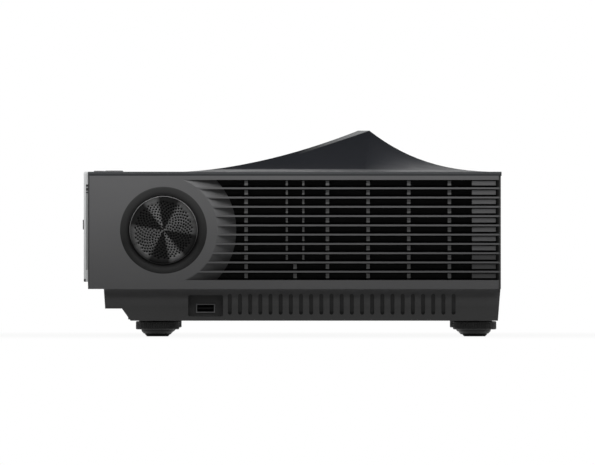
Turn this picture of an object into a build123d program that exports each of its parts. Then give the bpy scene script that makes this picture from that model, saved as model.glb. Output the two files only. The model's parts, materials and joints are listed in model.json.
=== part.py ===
from build123d import *
import math
import os

os.makedirs("parts", exist_ok=True)

# An ultra-short-throw laser projector, in millimetres. +X runs from the rear, which faces the wall,
# to the front, +Y from the left side to the right side, and +Z up. The origin is on the surface
# that the feet stand on, below the middle of the projector.

# Overall case
CASE_WIDTH = 383.0
CASE_REAR = -153.0
SIDE_FRONT = 155.1
FRONT_FACE = 156.7
SIDE_BOTTOM = 35.6
SIDE_TOP = 120.5
DECK_TOP = 123.6
SKIN = 2.5
SIDE_SKIN = 3.0
SIDE_REAR_ROUND = 0.9
FIT_GAP = 0.2
THROUGH = 60.0
HALF = CASE_WIDTH / 2

# Hood over the light path
HOOD_HEIGHT = 31.4
HOOD_START = -90.0
PEAK_REAR = 50.0
PEAK_FRONT = 58.4
HOOD_END = 157.2
FRONT_SWEEP_END = 166.0
REAR_SWEEP_POWER = 1.75
FRONT_SWEEP_POWER = 2.7
CREST_HALF_REAR = 104.0
CREST_HALF_PEAK = 76.0
CREST_HALF_FRONT = 112.0
BEVEL_DROP = 3.2
FLANK_PULL = 0.62
FLANK_LIFT_RUN = 0.10
FLANK_LIFT_DROP = 0.42
HOOD_STATIONS = 6
BEVEL_WIDTH = 7.0
BEVEL_MIN_WIDTH = 1.5
BEVEL_START = -5.0
BEVEL_FULL = 38.0
EDGE_ROUND = 1.4

# Light window in the rear slope of the hood
WINDOW_REAR = -40.0
WINDOW_FRONT = 46.0
WINDOW_HALF_REAR = 84.0
WINDOW_HALF_FRONT = 62.0
WINDOW_DEPTH = 6.0
BEZEL_WALL = 3.0
BEZEL_DEPTH = 12.0
GLASS_THICKNESS = 2.2
WINDOW_ROUND = 6.0
BEZEL_REACH = 4.0
BEZEL_FLANGE = 4.0
BEZEL_FLANGE_SHEET = 2.0
GLASS_LEDGE = 2.5

# Lower tray
TRAY_HALF = 186.5
TRAY_REAR_TOP = -141.2
TRAY_REAR_LOW = -140.2
TRAY_STEP_BOTTOM = 20.9
TRAY_STEP_END = -127.6
TRAY_SLOPE_END = -121.1
TRAY_BOTTOM = 11.8
TRAY_FRONT_LOW = 154.5
TRAY_FRONT_TOP = 156.4
TRAY_WALL = 2.5
CORNER_CUT_START = (3.0, 34.6)
CORNER_CUT_BULGE = (10.4, 28.0)
CORNER_CUT_END = 13.6
CORNER_CUT_SLANT = 0.65
CUT_REACH = 40.0

# Vent slots in the tray's sides
VENT_COUNT = 23
VENT_FIRST = -46.65
VENT_PITCH = 7.63
VENT_WIDTH = 2.9
VENT_BOTTOM = 16.4
VENT_TOP = 32.0
VENT_DEPTH_LOW = 1.9
VENT_DEPTH_TOP = 0.8

# Port pocket in the tray's left side
POCKET_X = (-77.9, -51.7)
POCKET_Z = (15.0, 31.0)
POCKET_DEPTH = 6.0
POCKET_ROUND = 1.5
POCKET_BACK = 2.0
USB_X = -64.9
USB_Z = 21.1
USB_SHELL = (14.4, 6.8)
USB_INSIDE = (12.6, 5.1)
USB_TONGUE = (11.1, 1.4)
USB_PROUD = 0.6
USB_LENGTH = 16.0

# Louvres in the side panels
LOUVRE_COUNT = 11
LOUVRE_BOTTOM = 42.3
LOUVRE_TOP = 117.45
LOUVRE_FRONT = 153.7
FIN_THICKNESS = 1.35
FIN_DEPTH = 8.5
RIB_SET_BACK = 3.2
RIB_WIDE = 2.6
RIB_NARROW = 1.6
RIB_PITCH = 30.5
RIB_FIRST = -34.4
RIB_PAIR_GAP = 12.4
SHORT_RIB_ROWS = 2
END_BLOCK_REAR = 135.0
END_BLOCK_FRONT = 152.9
END_BLOCK_SET_BACK = 1.2
BAR_HEIGHT = 3.4
BAR_TOP_GAP = 0.7
BACKING = 1.5
FILTER_SHEET = 1.2
FILTER_X = (-64.0, 150.0)
FILTER_TOP = 119.0

# Speaker in each side panel
SPEAKER_X = -96.4
SPEAKER_Z = 79.7
DISH_RADIUS = 32.6
DISH_THROAT = 26.0
DISH_DEPTH = 5.0
DISH_BOW = (1.6, 2.6)
SPEAKER_SEAT = 7.0
SPEAKER_SEAT_RADIUS = 23.0
RAMP_START = 40.5
RAMP_END = 54.6
RAMP_DEPTH = 6.0
GRILLE_RADIUS = 25.6
GRILLE_RISE = 1.5
GRILLE_SHEET = 1.0
GRILLE_RIM = 1.4
GRILLE_RIM_RISE = 0.8
GRILLE_HOLE = 0.55
GRILLE_HOLE_PITCH = 2.8
GRILLE_HOLE_FIELD = 22.4
BASKET_RADIUS = 30.5
BASKET_FLANGE = 2.0
BASKET_STRAIGHT = 4.0
BASKET_DEPTH = 22.0
MAGNET_RADIUS = 19.0
MAGNET_DEPTH = 11.0
CONE_RADIUS = 21.5
CONE_NECK = 7.0
CONE_DEPTH = 9.0
CONE_SHEET = 1.0
CONE_GAP = 1.6
CONE_SURROUND = 3.1
CONE_DROP = 1.2
CONE_ROLL = 1.0
CONE_TUBE = 6.0
CONE_CAP_RISE = 2.5
BASKET_WALL = 2.0
BASKET_CLEAR = 3.5
BASKET_WINDOWS = 4
BASKET_WINDOW = (18.0, 20.0, 11.0)
POLE_GAP = 3.0

# Chassis frame between the tray and the case
FRAME_THICKNESS = 2.5
FRAME_BORDER = 14.0
FRAME_BAR = 12.0
FRAME_BAR_X = (-108.0, -48.0, 20.0, 100.0)
FRAME_BAR_Y = (-60.0, 60.0)

# Front and rear panels
PANEL_WALL = 3.0
FRONT_LIP = 1.4
FRONT_LIP_HALF = 190.4
REAR_PLATE_BOTTOM = 41.0
REAR_PLATE_FACE = -154.6
REAR_TRIM_FACE = -156.2
REAR_TRIM_WIDTH = 3.0
TRIM_ROUND = 1.3
TRIM_CHAMFER = 0.4
REAR_HALF = 189.5
IR_WINDOW_PROUD = 1.0
IR_WINDOW_Z = (80.3, 87.5)
IR_WINDOW_WIDTH = 22.0
IR_WINDOW_Y = -150.0
IR_WINDOW_ROUND = 0.8
REAR_SLOT_Y = (-40.0, -14.0, 12.0, 38.0)
REAR_SLOT_LENGTH = 18.0
REAR_SLOT_ROWS = 4
REAR_SLOT_BOTTOM = 96.0
REAR_SLOT_PITCH = 5.0
REAR_SLOT_HEIGHT = 2.4
FRONT_IR_PROUD = 0.5
FRONT_IR_SIZE = (26.0, 9.0)
FRONT_IR_Z = 108.0
FRONT_IR_ROUND = 2.0
FRONT_IR_FLANGE = 1.5
FRONT_IR_FLANGE_REACH = 3.0

# Adjustable feet
FOOT_X = (-101.0, 137.2)
FOOT_Y = 164.0
COLLAR_RADIUS = 16.3
COLLAR_BOTTOM = 5.2
COLLAR_GAP = 0.4
COLLAR_RIBS = 60
COLLAR_RIB_DEPTH = 0.5
COLLAR_ROUND = 0.9
FOOT_CONE_RADIUS = 12.3
FOOT_CONE_MID = (11.9, 3.8)
FOOT_CONE_LOW_RADIUS = 10.3
FOOT_CONE_BOTTOM = 2.1
PAD_RADIUS = 9.6
PAD_LOW_RADIUS = 7.9
PAD_TOP = 1.8
PAD_STEM_RADIUS = 3.5
PAD_STEM_TOP = 5.6
FOOT_SCREW_RADIUS = 4.0
FOOT_SCREW_TOP = 28.0
RUNNING_GAP = 0.06
FOOT_BUSH_RADIUS = 6.0
FOOT_BUSH_LENGTH = 14.0
FOOT_BOSS_RADIUS = 9.5

# Fastenings
MOUNT_SPACING_X = 200.0
MOUNT_SPACING_Y = 260.0
MOUNT_HOLE_RADIUS = 2.0
MOUNT_INSERT_RADIUS = 3.5
MOUNT_INSERT_LENGTH = 9.0
MOUNT_BOSS_RADIUS = 6.5
SCREW_X = (-118.0, -30.0, 60.0, 148.0)
SCREW_Y = 180.0
SCREW_RADIUS = 1.5
SCREW_HEAD_RADIUS = 2.9
SCREW_HEAD_HEIGHT = 2.0
SCREW_POST_RADIUS = 5.0
SCREW_SEAT_HEIGHT = 24.0
SCREW_CROSS = (2.6, 0.7)
SCREW_CROSS_DEPTH = 0.8

# Keypad on the deck
KEY_RAISE = 1.0
KEY_TRAVEL = 0.6
KEY_GAP = 0.35
KEY_LIP = 1.2
KEY_DEPTH = 5.0
POWER_KEY_X = -145.1
POWER_KEY_RADIUS = 4.4
POWER_KEY_Y = -104.0
KEY_X = (-140.3, -127.1)
KEY_WIDTH = 12.0
KEY_PITCH = 16.0
KEY_FIRST_Y = -168.0
KEY_NAMES = ("source_key", "menu_key", "volume_up_key", "volume_down_key")
KEY_ROUND = 2.5
KEY_BEVEL = 0.3
KEY_FLANGE = 1.2
KEY_STEM_RADIUS = 2.0
KEY_CLEAR = 0.3
KEY_BOARD_THICKNESS = 1.6
KEY_BOARD_MARGIN = (4.0, 12.0, 14.0)
KEY_BOARD_PILLAR_INSET = 2.5
STATUS_LENS_Y = -98.0
STATUS_LENS_LENGTH = 18.0
STATUS_LENS_WIDTH = 3.0
STATUS_LENS_PROUD = 0.2
STATUS_LENS_FLANGE = 1.0

# Rear sockets and boards
BOARD_THICKNESS = 1.6
MAIN_BOARD_X = (-149.0, -62.0)
MAIN_BOARD_Y = (-148.0, -54.0)
MAIN_BOARD_LIFT = 8.0
BOARD_PILLAR_RADIUS = 3.5
BOARD_PILLAR_INSET = 6.0
# Each chip: its x, its y, its side and its height
CHIPS = ((-112.0, -100.0, 24.0, 3.0), (-88.0, -74.0, 16.0, 2.0), (-84.0, -118.0, 14.0, 2.0),
         (-112.0, -132.0, 12.0, 5.0), (-76.0, -98.0, 10.0, 8.0))
SOCKET_RECESS = 0.8
HDMI_Y = (-139.0, -120.0)
HDMI_OUTER = (15.6, 6.2)
HDMI_INSIDE = (14.0, 4.6)
HDMI_TONGUE = (11.0, 1.2)
SOCKET_DEPTH = 13.0
REAR_USB_Y = -103.0
NETWORK_Y = -85.0
NETWORK_OUTER = (16.0, 13.4)
NETWORK_INSIDE = (11.9, 8.4)
AUDIO_Y = (-70.0, -60.0)
AUDIO_OUTER = (8.0, 8.6)
AUDIO_RADIUS = 1.8
LATCH_HALF = 2.0
LATCH_DEPTH = 5.0
SHELL_END = 1.5
TONGUE_SET_BACK = 1.5
INLET_Y = 122.0
INLET_Z = 64.0
INLET_OUTER = (29.0, 22.0)
INLET_INSIDE = (24.4, 16.4)
INLET_DEPTH = 20.0
INLET_CAVITY = 15.0
INLET_PIN = (2.0, 4.0)
INLET_PIN_SET_BACK = 5.0
INLET_PIN_PITCH = 7.0
INLET_FLANGE = 1.5
INLET_FLANGE_REACH = 2.0
INLET_PIN_RISE = 2.0
POWER_BOARD_X = (-16.0, 104.0)
POWER_BOARD_Y = (-118.0, -8.0)
POWER_BOARD_LIFT = 4.0
POWER_PART_HEIGHT = 11.0
POWER_PARTS = 3
POWER_PART_FIRST = 26.0
POWER_PART_PITCH = 34.0
POWER_PART_WIDTH = 24.0
POWER_PART_Y = (62.0, 92.0)
CAPACITOR_Y = 28.0
CAPACITOR_RADIUS = 8.0

# Light engine, lens and mirror
AXIS_Z = 75.0
ENGINE_X = (-112.0, -42.0)
ENGINE_HALF = 50.0
ENGINE_LIFT = 8.0
ENGINE_TOP = 104.0
ENGINE_WALL = 3.0
ENGINE_FOOT = 10.0
ENGINE_ROUND = 5.0
ENGINE_FOOT_INSET = 8.0
ENGINE_RIBS = 5
ENGINE_RIB_PITCH = 16.0
ENGINE_RIB = 2.0
ENGINE_RIB_RISE = 4.0
BARREL_FLANGE_RADIUS = 30.0
BARREL_FLANGE = 4.0
BARREL_RADIUS = 21.0
BARREL_BORE = 16.0
BARREL_CELL_REAR = 16.0
BARREL_CELL_RADIUS = 34.0
BARREL_FRONT = 40.0
FRONT_LENS_RADIUS = 30.0
FRONT_LENS_EDGE = 4.0
FRONT_LENS_BULGE = 7.0
LENS_SEAT = 27.5
LENS_RETAINER = 2.0
CELL_GROOVES = 3
CELL_GROOVE_PITCH = 7.0
CELL_GROOVE_WIDTH = 2.5
CELL_GROOVE_DEPTH = 1.0
CARRIAGE_LENGTH = 18.0
CARRIAGE_BORE = 12.0
CARRIAGE_ARM = 6.0
FOCUS_TRAVEL = 1.5
FOCUS_SCREW_Y = 33.0
FOCUS_SCREW_RADIUS = 1.5
FOCUS_NUT = 4.0
FOCUS_MOTOR_RADIUS = 7.0
FOCUS_MOTOR_LENGTH = 12.0
FOCUS_BEARING = 3.0
FOCUS_EAR_REAR = 12.0
FOCUS_EAR_FRONT = 10.0
FOCUS_EAR_HALF = 6.0
FOCUS_EAR_REACH = 5.0
FOCUS_HEAD = 2.0
FOCUS_LENS_HALF = 2.5
MIRROR_CURVE = 120.0
MIRROR_SHEET = 4.0
MIRROR_FACE_X = 110.0
MIRROR_Z = 85.0
MIRROR_HALF_Y = 60.0
MIRROR_LOW = 56.0
MIRROR_HIGH = 110.0
MIRROR_PLATE_X = 119.0
MIRROR_PLATE = 3.0
MIRROR_PLATE_HALF = 40.0
MIRROR_PAD_RADIUS = 9.0
MIRROR_PAD_GAP = 0.1
MIRROR_PAD_Y = 28.0
MIRROR_PAD_Z = (68.0, 96.0)
MIRROR_PAD_LENGTH = 12.0
MIRROR_RIB_RISE = 30.0
DMD_STANDOFF = 3.4
DMD_BOARD_HALF = 38.0
DMD_BOARD_HEIGHT = 46.0
DMD_SINK_DEPTH = 18.0
DMD_SINK_HALF = 24.0
DMD_SINK_FINS = 9
DMD_SINK_HALF_HEIGHT = 18.0
DMD_CHIP_HALF = (12.0, 8.0)
DMD_PILLAR_RADIUS = 2.5
DMD_PILLAR_INSET = 5.0
SINK_FIN = 1.2
SINK_BASE = 4.0

# Laser bank and phosphor wheel
LASER_GAP = 12.0
LASER_DEPTH = 42.0
LASER_HEIGHT = 44.0
LASER_CAPS = (5, 4)
LASER_CAP_RADIUS = 4.0
LASER_SINK_DEPTH = 36.0
LASER_SINK_FINS = 14
LASER_CAP_PITCH = (11.0, 10.0)
LASER_CAP_PROUD = 3.0
LASER_X = -77.0
LASER_BEAM_RADIUS = 12.0
LASER_FOOT_INSET = 6.0
WHEEL_X = -29.0
WHEEL_Y = 78.0
WHEEL_Z = 68.0
WHEEL_RADIUS = 26.0
WHEEL_SHEET = 1.0
WHEEL_HUB_RADIUS = 8.0
WHEEL_HUB = 4.0
WHEEL_SHAFT_RADIUS = 1.5
WHEEL_MOTOR_RADIUS = 11.0
WHEEL_MOTOR_LENGTH = 12.0
WHEEL_MOTOR_GAP = 0.6
WHEEL_PLATE = 3.0
WHEEL_PLATE_REACH = 5.0
WHEEL_FOOT = 12.0
WHEEL_MARK_RADIUS = 1.2

# Cooling fans behind the louvres
FAN_X = 58.0
FAN_SIZE = 80.0
FAN_DEPTH = 25.0
FAN_OUTER_Y = 178.0
FAN_BORE = 38.0
FAN_HUB_RADIUS = 16.0
FAN_TIP_GAP = 0.8
FAN_BLADES = 7
FAN_BLADE_SHEET = 1.6
FAN_STRUT = 3.0
FAN_SHAFT_RADIUS = 1.5
FAN_HUB_GAP = 0.5
FAN_ROTOR_SET_BACK = 1.5
FAN_BLADE_HALF = 8.0
FAN_BLADE_TURN = 38.0
FAN_ROUND = 4.0
FAN_HOLE_INSET = 5.0
FAN_HOLE_RADIUS = 2.2


def block(x0, x1, y0, y1, z0, z1):
    return Pos((x0 + x1) / 2, (y0 + y1) / 2, (z0 + z1) / 2) * Box(x1 - x0, y1 - y0, z1 - z0)


def rod_x(x0, x1, y, z, radius):
    return Pos((x0 + x1) / 2, y, z) * Rot(0, 90, 0) * Cylinder(radius, x1 - x0)


def rod_y(x, y0, y1, z, radius):
    return Pos(x, (y0 + y1) / 2, z) * Rot(90, 0, 0) * Cylinder(radius, y1 - y0)


def rod_z(x, y, z0, z1, radius):
    return Pos(x, y, (z0 + z1) / 2) * Cylinder(radius, z1 - z0)


def flip(shape):
    return mirror(shape, about=Plane.XZ)


def turned(points):
    """Solid of revolution about Z from (radius, height) points."""
    return revolve(Plane.XZ * make_face(Polyline(*points, close=True)), Axis.Z)


def save(name, *shapes):
    solids = [solid for shape in shapes for solid in shape.solids()]
    whole = solids[0] if len(solids) == 1 else Compound(children=solids)
    export_step(whole, f"parts/{name}.step")


# Local frame of the left side: x is the case's X, y is its Z, and z points out of the case.
LEFT_SIDE = Plane(origin=(0, -HALF, 0), x_dir=(1, 0, 0), z_dir=(0, -1, 0)).location


# Hood surface


def ridge_height(x):
    if x <= HOOD_START:
        return 0.0
    if x <= PEAK_REAR:
        return HOOD_HEIGHT * ((x - HOOD_START) / (PEAK_REAR - HOOD_START)) ** REAR_SWEEP_POWER
    if x <= PEAK_FRONT:
        return HOOD_HEIGHT
    return HOOD_HEIGHT * ((FRONT_SWEEP_END - x) / (FRONT_SWEEP_END - PEAK_FRONT)) ** FRONT_SWEEP_POWER


def bevel_share(x):
    if x <= BEVEL_START or x >= PEAK_FRONT:
        return 0.0
    if x <= BEVEL_FULL:
        return (x - BEVEL_START) / (BEVEL_FULL - BEVEL_START)
    if x <= PEAK_REAR:
        return 1.0
    return (PEAK_FRONT - x) / (PEAK_FRONT - PEAK_REAR)


def crest_half(x):
    if x <= PEAK_FRONT:
        share = (x - HOOD_START) / (PEAK_FRONT - HOOD_START)
        return CREST_HALF_REAR + (CREST_HALF_PEAK - CREST_HALF_REAR) * share
    share = (x - PEAK_FRONT) / (HOOD_END - PEAK_FRONT)
    return CREST_HALF_PEAK + (CREST_HALF_FRONT - CREST_HALF_PEAK) * share


def half_section(x, inset):
    """Points of the left half of the cover's outline at x, and its flank's two control points."""
    height = ridge_height(x)
    share = bevel_share(x)
    crest = crest_half(x) - inset
    bevel = BEVEL_MIN_WIDTH + (BEVEL_WIDTH - BEVEL_MIN_WIDTH) * share
    edge = HALF - inset
    deck = DECK_TOP - inset
    crease = deck + height - BEVEL_DROP * share
    foot = edge - EDGE_ROUND
    run = foot - crest
    pull = (-foot + FLANK_PULL * run, deck)
    lift = (-crest - FLANK_LIFT_RUN * run, crease - FLANK_LIFT_DROP * (crease - deck))
    points = [(-edge, deck - EDGE_ROUND), (-foot, deck), (-crest, crease), (-crest + bevel, deck + height)]
    return points, (pull, lift)


def cover_section(x, inset, bottom):
    (edge, foot, crease, shoulder), (pull, lift) = half_section(x, inset)

    def right(point):
        return (-point[0], point[1])

    lines = [
        Line((edge[0], bottom), edge),
        Line(edge, foot),
        Bezier(foot, pull, lift, crease),
        Line(crease, shoulder),
        Line(shoulder, right(shoulder)),
        Line(right(shoulder), right(crease)),
        Bezier(right(crease), right(lift), right(pull), right(foot)),
        Line(right(foot), right(edge)),
        Line(right(edge), (-edge[0], bottom)),
        Line((-edge[0], bottom), (edge[0], bottom)),
    ]
    # The section's own x runs along Y and its own y runs up.
    return Plane(origin=(x, 0, 0), x_dir=(0, 1, 0), z_dir=(1, 0, 0)) * make_face(lines)


def cover_solid(inset, bottom, rear, front):
    def span(stations):
        return loft([cover_section(x, inset, bottom) for x in stations])

    steps = HOOD_STATIONS
    rear_run = PEAK_REAR - HOOD_START
    front_run = front - PEAK_FRONT
    rise = [HOOD_START + rear_run * n / steps for n in range(steps + 1)]
    fall = [PEAK_FRONT + front_run * n / steps for n in range(steps + 1)]
    flat = extrude(cover_section(HOOD_START, inset, bottom), rear - HOOD_START)
    return flat + span(rise) + span([PEAK_REAR, PEAK_FRONT]) + span(fall)


# Case


def glass_tilt():
    rise = ridge_height(WINDOW_FRONT) - ridge_height(WINDOW_REAR)
    return math.degrees(math.atan2(rise, WINDOW_FRONT - WINDOW_REAR))


def window_frame():
    """Location of the window: x up the slope, y to the left, z out of the hood."""
    rear = DECK_TOP + ridge_height(WINDOW_REAR)
    front = DECK_TOP + ridge_height(WINDOW_FRONT)
    middle = ((WINDOW_REAR + WINDOW_FRONT) / 2, 0, (rear + front) / 2)
    return Location(middle) * Rot(0, -glass_tilt(), 0)


def window_prism(inset, low, high):
    length = math.hypot(WINDOW_FRONT - WINDOW_REAR, ridge_height(WINDOW_FRONT) - ridge_height(WINDOW_REAR))
    half_length = length / 2 - inset
    rear = WINDOW_HALF_REAR - inset
    front = WINDOW_HALF_FRONT - inset
    corners = [(-half_length, -rear), (half_length, -front), (half_length, front), (-half_length, rear)]
    face = fillet(make_face(Polyline(*corners, close=True)).vertices(), WINDOW_ROUND)
    return window_frame() * Pos(0, 0, low) * extrude(face, high - low)


def key_places():
    middle = sum(KEY_X) / 2
    return [(middle, KEY_FIRST_Y + KEY_PITCH * n) for n in range(len(KEY_NAMES))]


def key_slab(x, y, grow, z0, z1):
    half_x = (KEY_X[1] - KEY_X[0]) / 2 + grow
    half_y = KEY_WIDTH / 2 + grow
    return Pos(x, y, z0) * extrude(RectangleRounded(2 * half_x, 2 * half_y, KEY_ROUND + grow), z1 - z0)


def top_cover():
    outer = cover_solid(0.0, SIDE_TOP, CASE_REAR, HOOD_END)
    inner = cover_solid(SKIN, SIDE_TOP - 1, CASE_REAR + SKIN, HOOD_END - SKIN)
    cover = outer - inner - window_prism(-FIT_GAP, -BEZEL_DEPTH - 8, BEZEL_DEPTH)
    top = DECK_TOP + 1
    for x, y in key_places():
        cover -= key_slab(x, y, KEY_GAP, SIDE_TOP - 1, top)
    cover -= rod_z(POWER_KEY_X, POWER_KEY_Y, SIDE_TOP - 1, top, POWER_KEY_RADIUS + KEY_GAP)
    half_x = STATUS_LENS_WIDTH / 2 + FIT_GAP / 2
    half_y = STATUS_LENS_LENGTH / 2 + FIT_GAP / 2
    lens_x = sum(KEY_X) / 2
    cover -= block(lens_x - half_x, lens_x + half_x, STATUS_LENS_Y - half_y, STATUS_LENS_Y + half_y,
                   SIDE_TOP - 1, top)
    return cover


def window_bezel():
    frame = window_prism(0.0, -BEZEL_DEPTH, BEZEL_REACH)
    sight = window_prism(BEZEL_WALL, -WINDOW_DEPTH, BEZEL_REACH + 1)
    light = window_prism(BEZEL_WALL + GLASS_LEDGE, -BEZEL_DEPTH - 1, BEZEL_REACH + 1)
    seat = window_prism(BEZEL_WALL, -WINDOW_DEPTH - GLASS_THICKNESS, BEZEL_REACH + 1)
    under = Pos(0, 0, -FIT_GAP) * cover_solid(0.0, SIDE_TOP - 30, WINDOW_REAR - 20, HOOD_END)
    flange_low = -BEZEL_DEPTH
    flange = window_prism(-BEZEL_FLANGE, flange_low, flange_low + BEZEL_FLANGE_SHEET)
    return (frame & under) + flange - sight - seat - light


def window_glass():
    return window_prism(BEZEL_WALL + FIT_GAP, -WINDOW_DEPTH - GLASS_THICKNESS, -WINDOW_DEPTH)


def tray_profile(t):
    """Side outline of the tray with its walls drawn in by t, open at the top when t is not 0."""
    turn = t * math.tan(math.atan2(TRAY_STEP_BOTTOM - TRAY_BOTTOM, TRAY_SLOPE_END - TRAY_STEP_END) / 2)
    top = SIDE_BOTTOM + (1 if t else 0)
    return [
        (TRAY_REAR_TOP + t, top),
        (TRAY_REAR_LOW + t, TRAY_STEP_BOTTOM + t),
        (TRAY_STEP_END + turn, TRAY_STEP_BOTTOM + t),
        (TRAY_SLOPE_END + turn, TRAY_BOTTOM + t),
        (TRAY_FRONT_LOW - t, TRAY_BOTTOM + t),
        (TRAY_FRONT_TOP - t, top),
    ]


def corner_cutter(t):
    """Slanted cut across the tray's rear left corner, curved in side view and set in by t."""
    shift = TRAY_REAR_TOP + t * math.hypot(1, CORNER_CUT_SLANT) / CORNER_CUT_SLANT
    far = TRAY_REAR_TOP - CUT_REACH
    low = TRAY_STEP_BOTTOM - t
    high = SIDE_BOTTOM + 2
    start = (CORNER_CUT_START[0] + shift, CORNER_CUT_START[1])
    bulge = (CORNER_CUT_BULGE[0] + shift, CORNER_CUT_BULGE[1])
    end = (CORNER_CUT_END + shift, low)
    curve = ThreePointArc(start, bulge, end)
    rest = Polyline(end, (end[0], low - 3), (far, low - 3), (far, high), (start[0], high), start)
    face = Pos(0, -TRAY_HALF - 1, 0) * Plane.XZ * make_face(curve + rest)
    return extrude(face, CUT_REACH, dir=(-1, CORNER_CUT_SLANT, 0))


def tray_solid(t):
    """The tray's outer form, drawn in by t, with both rear corners cut."""
    face = Plane.XZ * make_face(Polyline(*tray_profile(t), close=True))
    corner = corner_cutter(t)
    return extrude(face, TRAY_HALF - t, both=True) - corner - flip(corner)


def foot_places():
    return [(x, y) for x in FOOT_X for y in (-FOOT_Y, FOOT_Y)]


def mount_places():
    xs = (-MOUNT_SPACING_X / 2, MOUNT_SPACING_X / 2)
    ys = (-MOUNT_SPACING_Y / 2, MOUNT_SPACING_Y / 2)
    return [(x, y) for x in xs for y in ys]


def screw_places():
    return [(x, y) for x in SCREW_X for y in (-SCREW_Y, SCREW_Y)]


def tray_floor_at(x):
    return TRAY_BOTTOM if x > TRAY_SLOPE_END else TRAY_STEP_BOTTOM


def vent_cutters():
    """Upright grooves in both long sides, deeper towards their lower ends."""
    face = Pos(0, (VENT_BOTTOM + VENT_TOP) / 2) * SlotOverall(VENT_TOP - VENT_BOTTOM, VENT_WIDTH, rotation=90)
    slots = Sketch() + [Pos(VENT_FIRST + VENT_PITCH * n, 0) * face for n in range(VENT_COUNT)]
    low, top = TRAY_HALF - VENT_DEPTH_LOW, TRAY_HALF - VENT_DEPTH_TOP
    core = Polyline((-low, VENT_BOTTOM), (low, VENT_BOTTOM), (top, VENT_TOP), (-top, VENT_TOP), close=True)
    floor = extrude(Plane.YZ * make_face(core), CASE_WIDTH, both=True)
    return extrude(Plane.XZ * slots, TRAY_HALF + 1, both=True) - floor


def base_tray():
    tray = tray_solid(0.0) - tray_solid(TRAY_WALL)
    floor = TRAY_BOTTOM + TRAY_WALL
    tray -= vent_cutters()
    solids = [rod_z(x, y, floor - 1, floor + FOOT_BUSH_LENGTH, FOOT_BOSS_RADIUS) for x, y in foot_places()]
    mount_top = TRAY_BOTTOM + MOUNT_INSERT_LENGTH
    solids += [rod_z(x, y, floor - 1, mount_top + 2, MOUNT_BOSS_RADIUS) for x, y in mount_places()]
    solids += [rod_z(x, y, tray_floor_at(x) + 1, SIDE_BOTTOM, SCREW_POST_RADIUS) for x, y in screw_places()]
    pocket_back = -TRAY_HALF + POCKET_DEPTH
    solids.append(block(POCKET_X[0] - 2, POCKET_X[1] + 2, -TRAY_HALF + 1, pocket_back + POCKET_BACK,
                        floor - 1, POCKET_Z[1] + 2))
    tray += solids
    holes = [rod_z(x, y, 0, THROUGH, FOOT_BUSH_RADIUS) for x, y in foot_places()]
    holes += [rod_z(x, y, 0, mount_top, MOUNT_INSERT_RADIUS) for x, y in mount_places()]
    holes += [rod_z(x, y, 0, SCREW_SEAT_HEIGHT, SCREW_HEAD_RADIUS + FIT_GAP) for x, y in screw_places()]
    holes += [rod_z(x, y, 0, THROUGH, SCREW_RADIUS + FIT_GAP) for x, y in screw_places()]
    tray -= holes
    width = POCKET_X[1] - POCKET_X[0]
    height = POCKET_Z[1] - POCKET_Z[0]
    middle = (sum(POCKET_X) / 2, sum(POCKET_Z) / 2)
    mouth = Plane.XZ * Pos(*middle) * RectangleRounded(width, height, POCKET_ROUND)
    tray -= Pos(0, pocket_back, 0) * extrude(mouth, THROUGH)
    shell = (USB_SHELL[0] + FIT_GAP, USB_SHELL[1] + FIT_GAP)
    hole = Plane.XZ * Pos(USB_X, USB_Z) * Rectangle(*shell)
    tray -= Pos(0, -TRAY_HALF, 0) * extrude(hole, THROUGH / 2, both=True)
    return tray


def chassis_frame():
    z0, z1 = SIDE_BOTTOM, SIDE_BOTTOM + FRAME_THICKNESS
    rear, front = CASE_REAR + 1.0, FRONT_FACE - PANEL_WALL
    half = HALF - SIDE_SKIN
    frame = block(rear, front, -half, half, z0, z1)
    edges_x = [rear + FRAME_BORDER] + [x for x in FRAME_BAR_X for _ in (0, 1)] + [front - FRAME_BORDER]
    edges_y = [-half + FRAME_BORDER] + [y for y in FRAME_BAR_Y for _ in (0, 1)] + [half - FRAME_BORDER]
    bar = FRAME_BAR / 2
    for i in range(0, len(edges_x), 2):
        x0 = edges_x[i] + (bar if i else 0)
        x1 = edges_x[i + 1] - (bar if i + 2 < len(edges_x) else 0)
        for j in range(0, len(edges_y), 2):
            y0 = edges_y[j] + (bar if j else 0)
            y1 = edges_y[j + 1] - (bar if j + 2 < len(edges_y) else 0)
            frame -= block(x0, x1, y0, y1, z0 - 1, z1 + 1)
    for x, y in screw_places():
        frame -= rod_z(x, y, z0 - 1, z1 + 1, SCREW_RADIUS + FIT_GAP)
    return frame


def case_screws():
    screws = []
    for x, y in screw_places():
        low = SCREW_SEAT_HEIGHT - SCREW_HEAD_HEIGHT
        head = rod_z(x, y, low, SCREW_SEAT_HEIGHT, SCREW_HEAD_RADIUS)
        for angle in (0, 90):
            head -= Pos(x, y, low) * Rot(0, 0, angle) * Box(*SCREW_CROSS, 2 * SCREW_CROSS_DEPTH)
        shank = rod_z(x, y, SCREW_SEAT_HEIGHT - 0.5, SIDE_BOTTOM + FRAME_THICKNESS, SCREW_RADIUS)
        screws.append(head + shank)
    return screws


# Side panel, in the left side's local frame


def dish():
    """Concave ring that the speaker grille sits in, as a solid to cut away."""
    outer = (DISH_RADIUS, 0.1)
    throat = (DISH_THROAT, -DISH_DEPTH)
    bow = (DISH_THROAT + DISH_BOW[0], -DISH_DEPTH + DISH_BOW[1])
    profile = make_face([
        Line((0, 0.1), outer),
        ThreePointArc(outer, bow, throat),
        Line(throat, (0, -DISH_DEPTH)),
        Line((0, -DISH_DEPTH), (0, 0.1)),
    ])
    return revolve(Plane.XZ * profile, Axis.Z)


def louvre_slots():
    pitch = (LOUVRE_TOP - LOUVRE_BOTTOM + FIN_THICKNESS) / LOUVRE_COUNT
    return [(LOUVRE_BOTTOM + pitch * n, LOUVRE_BOTTOM + pitch * (n + 1) - FIN_THICKNESS)
            for n in range(LOUVRE_COUNT)]


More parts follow.
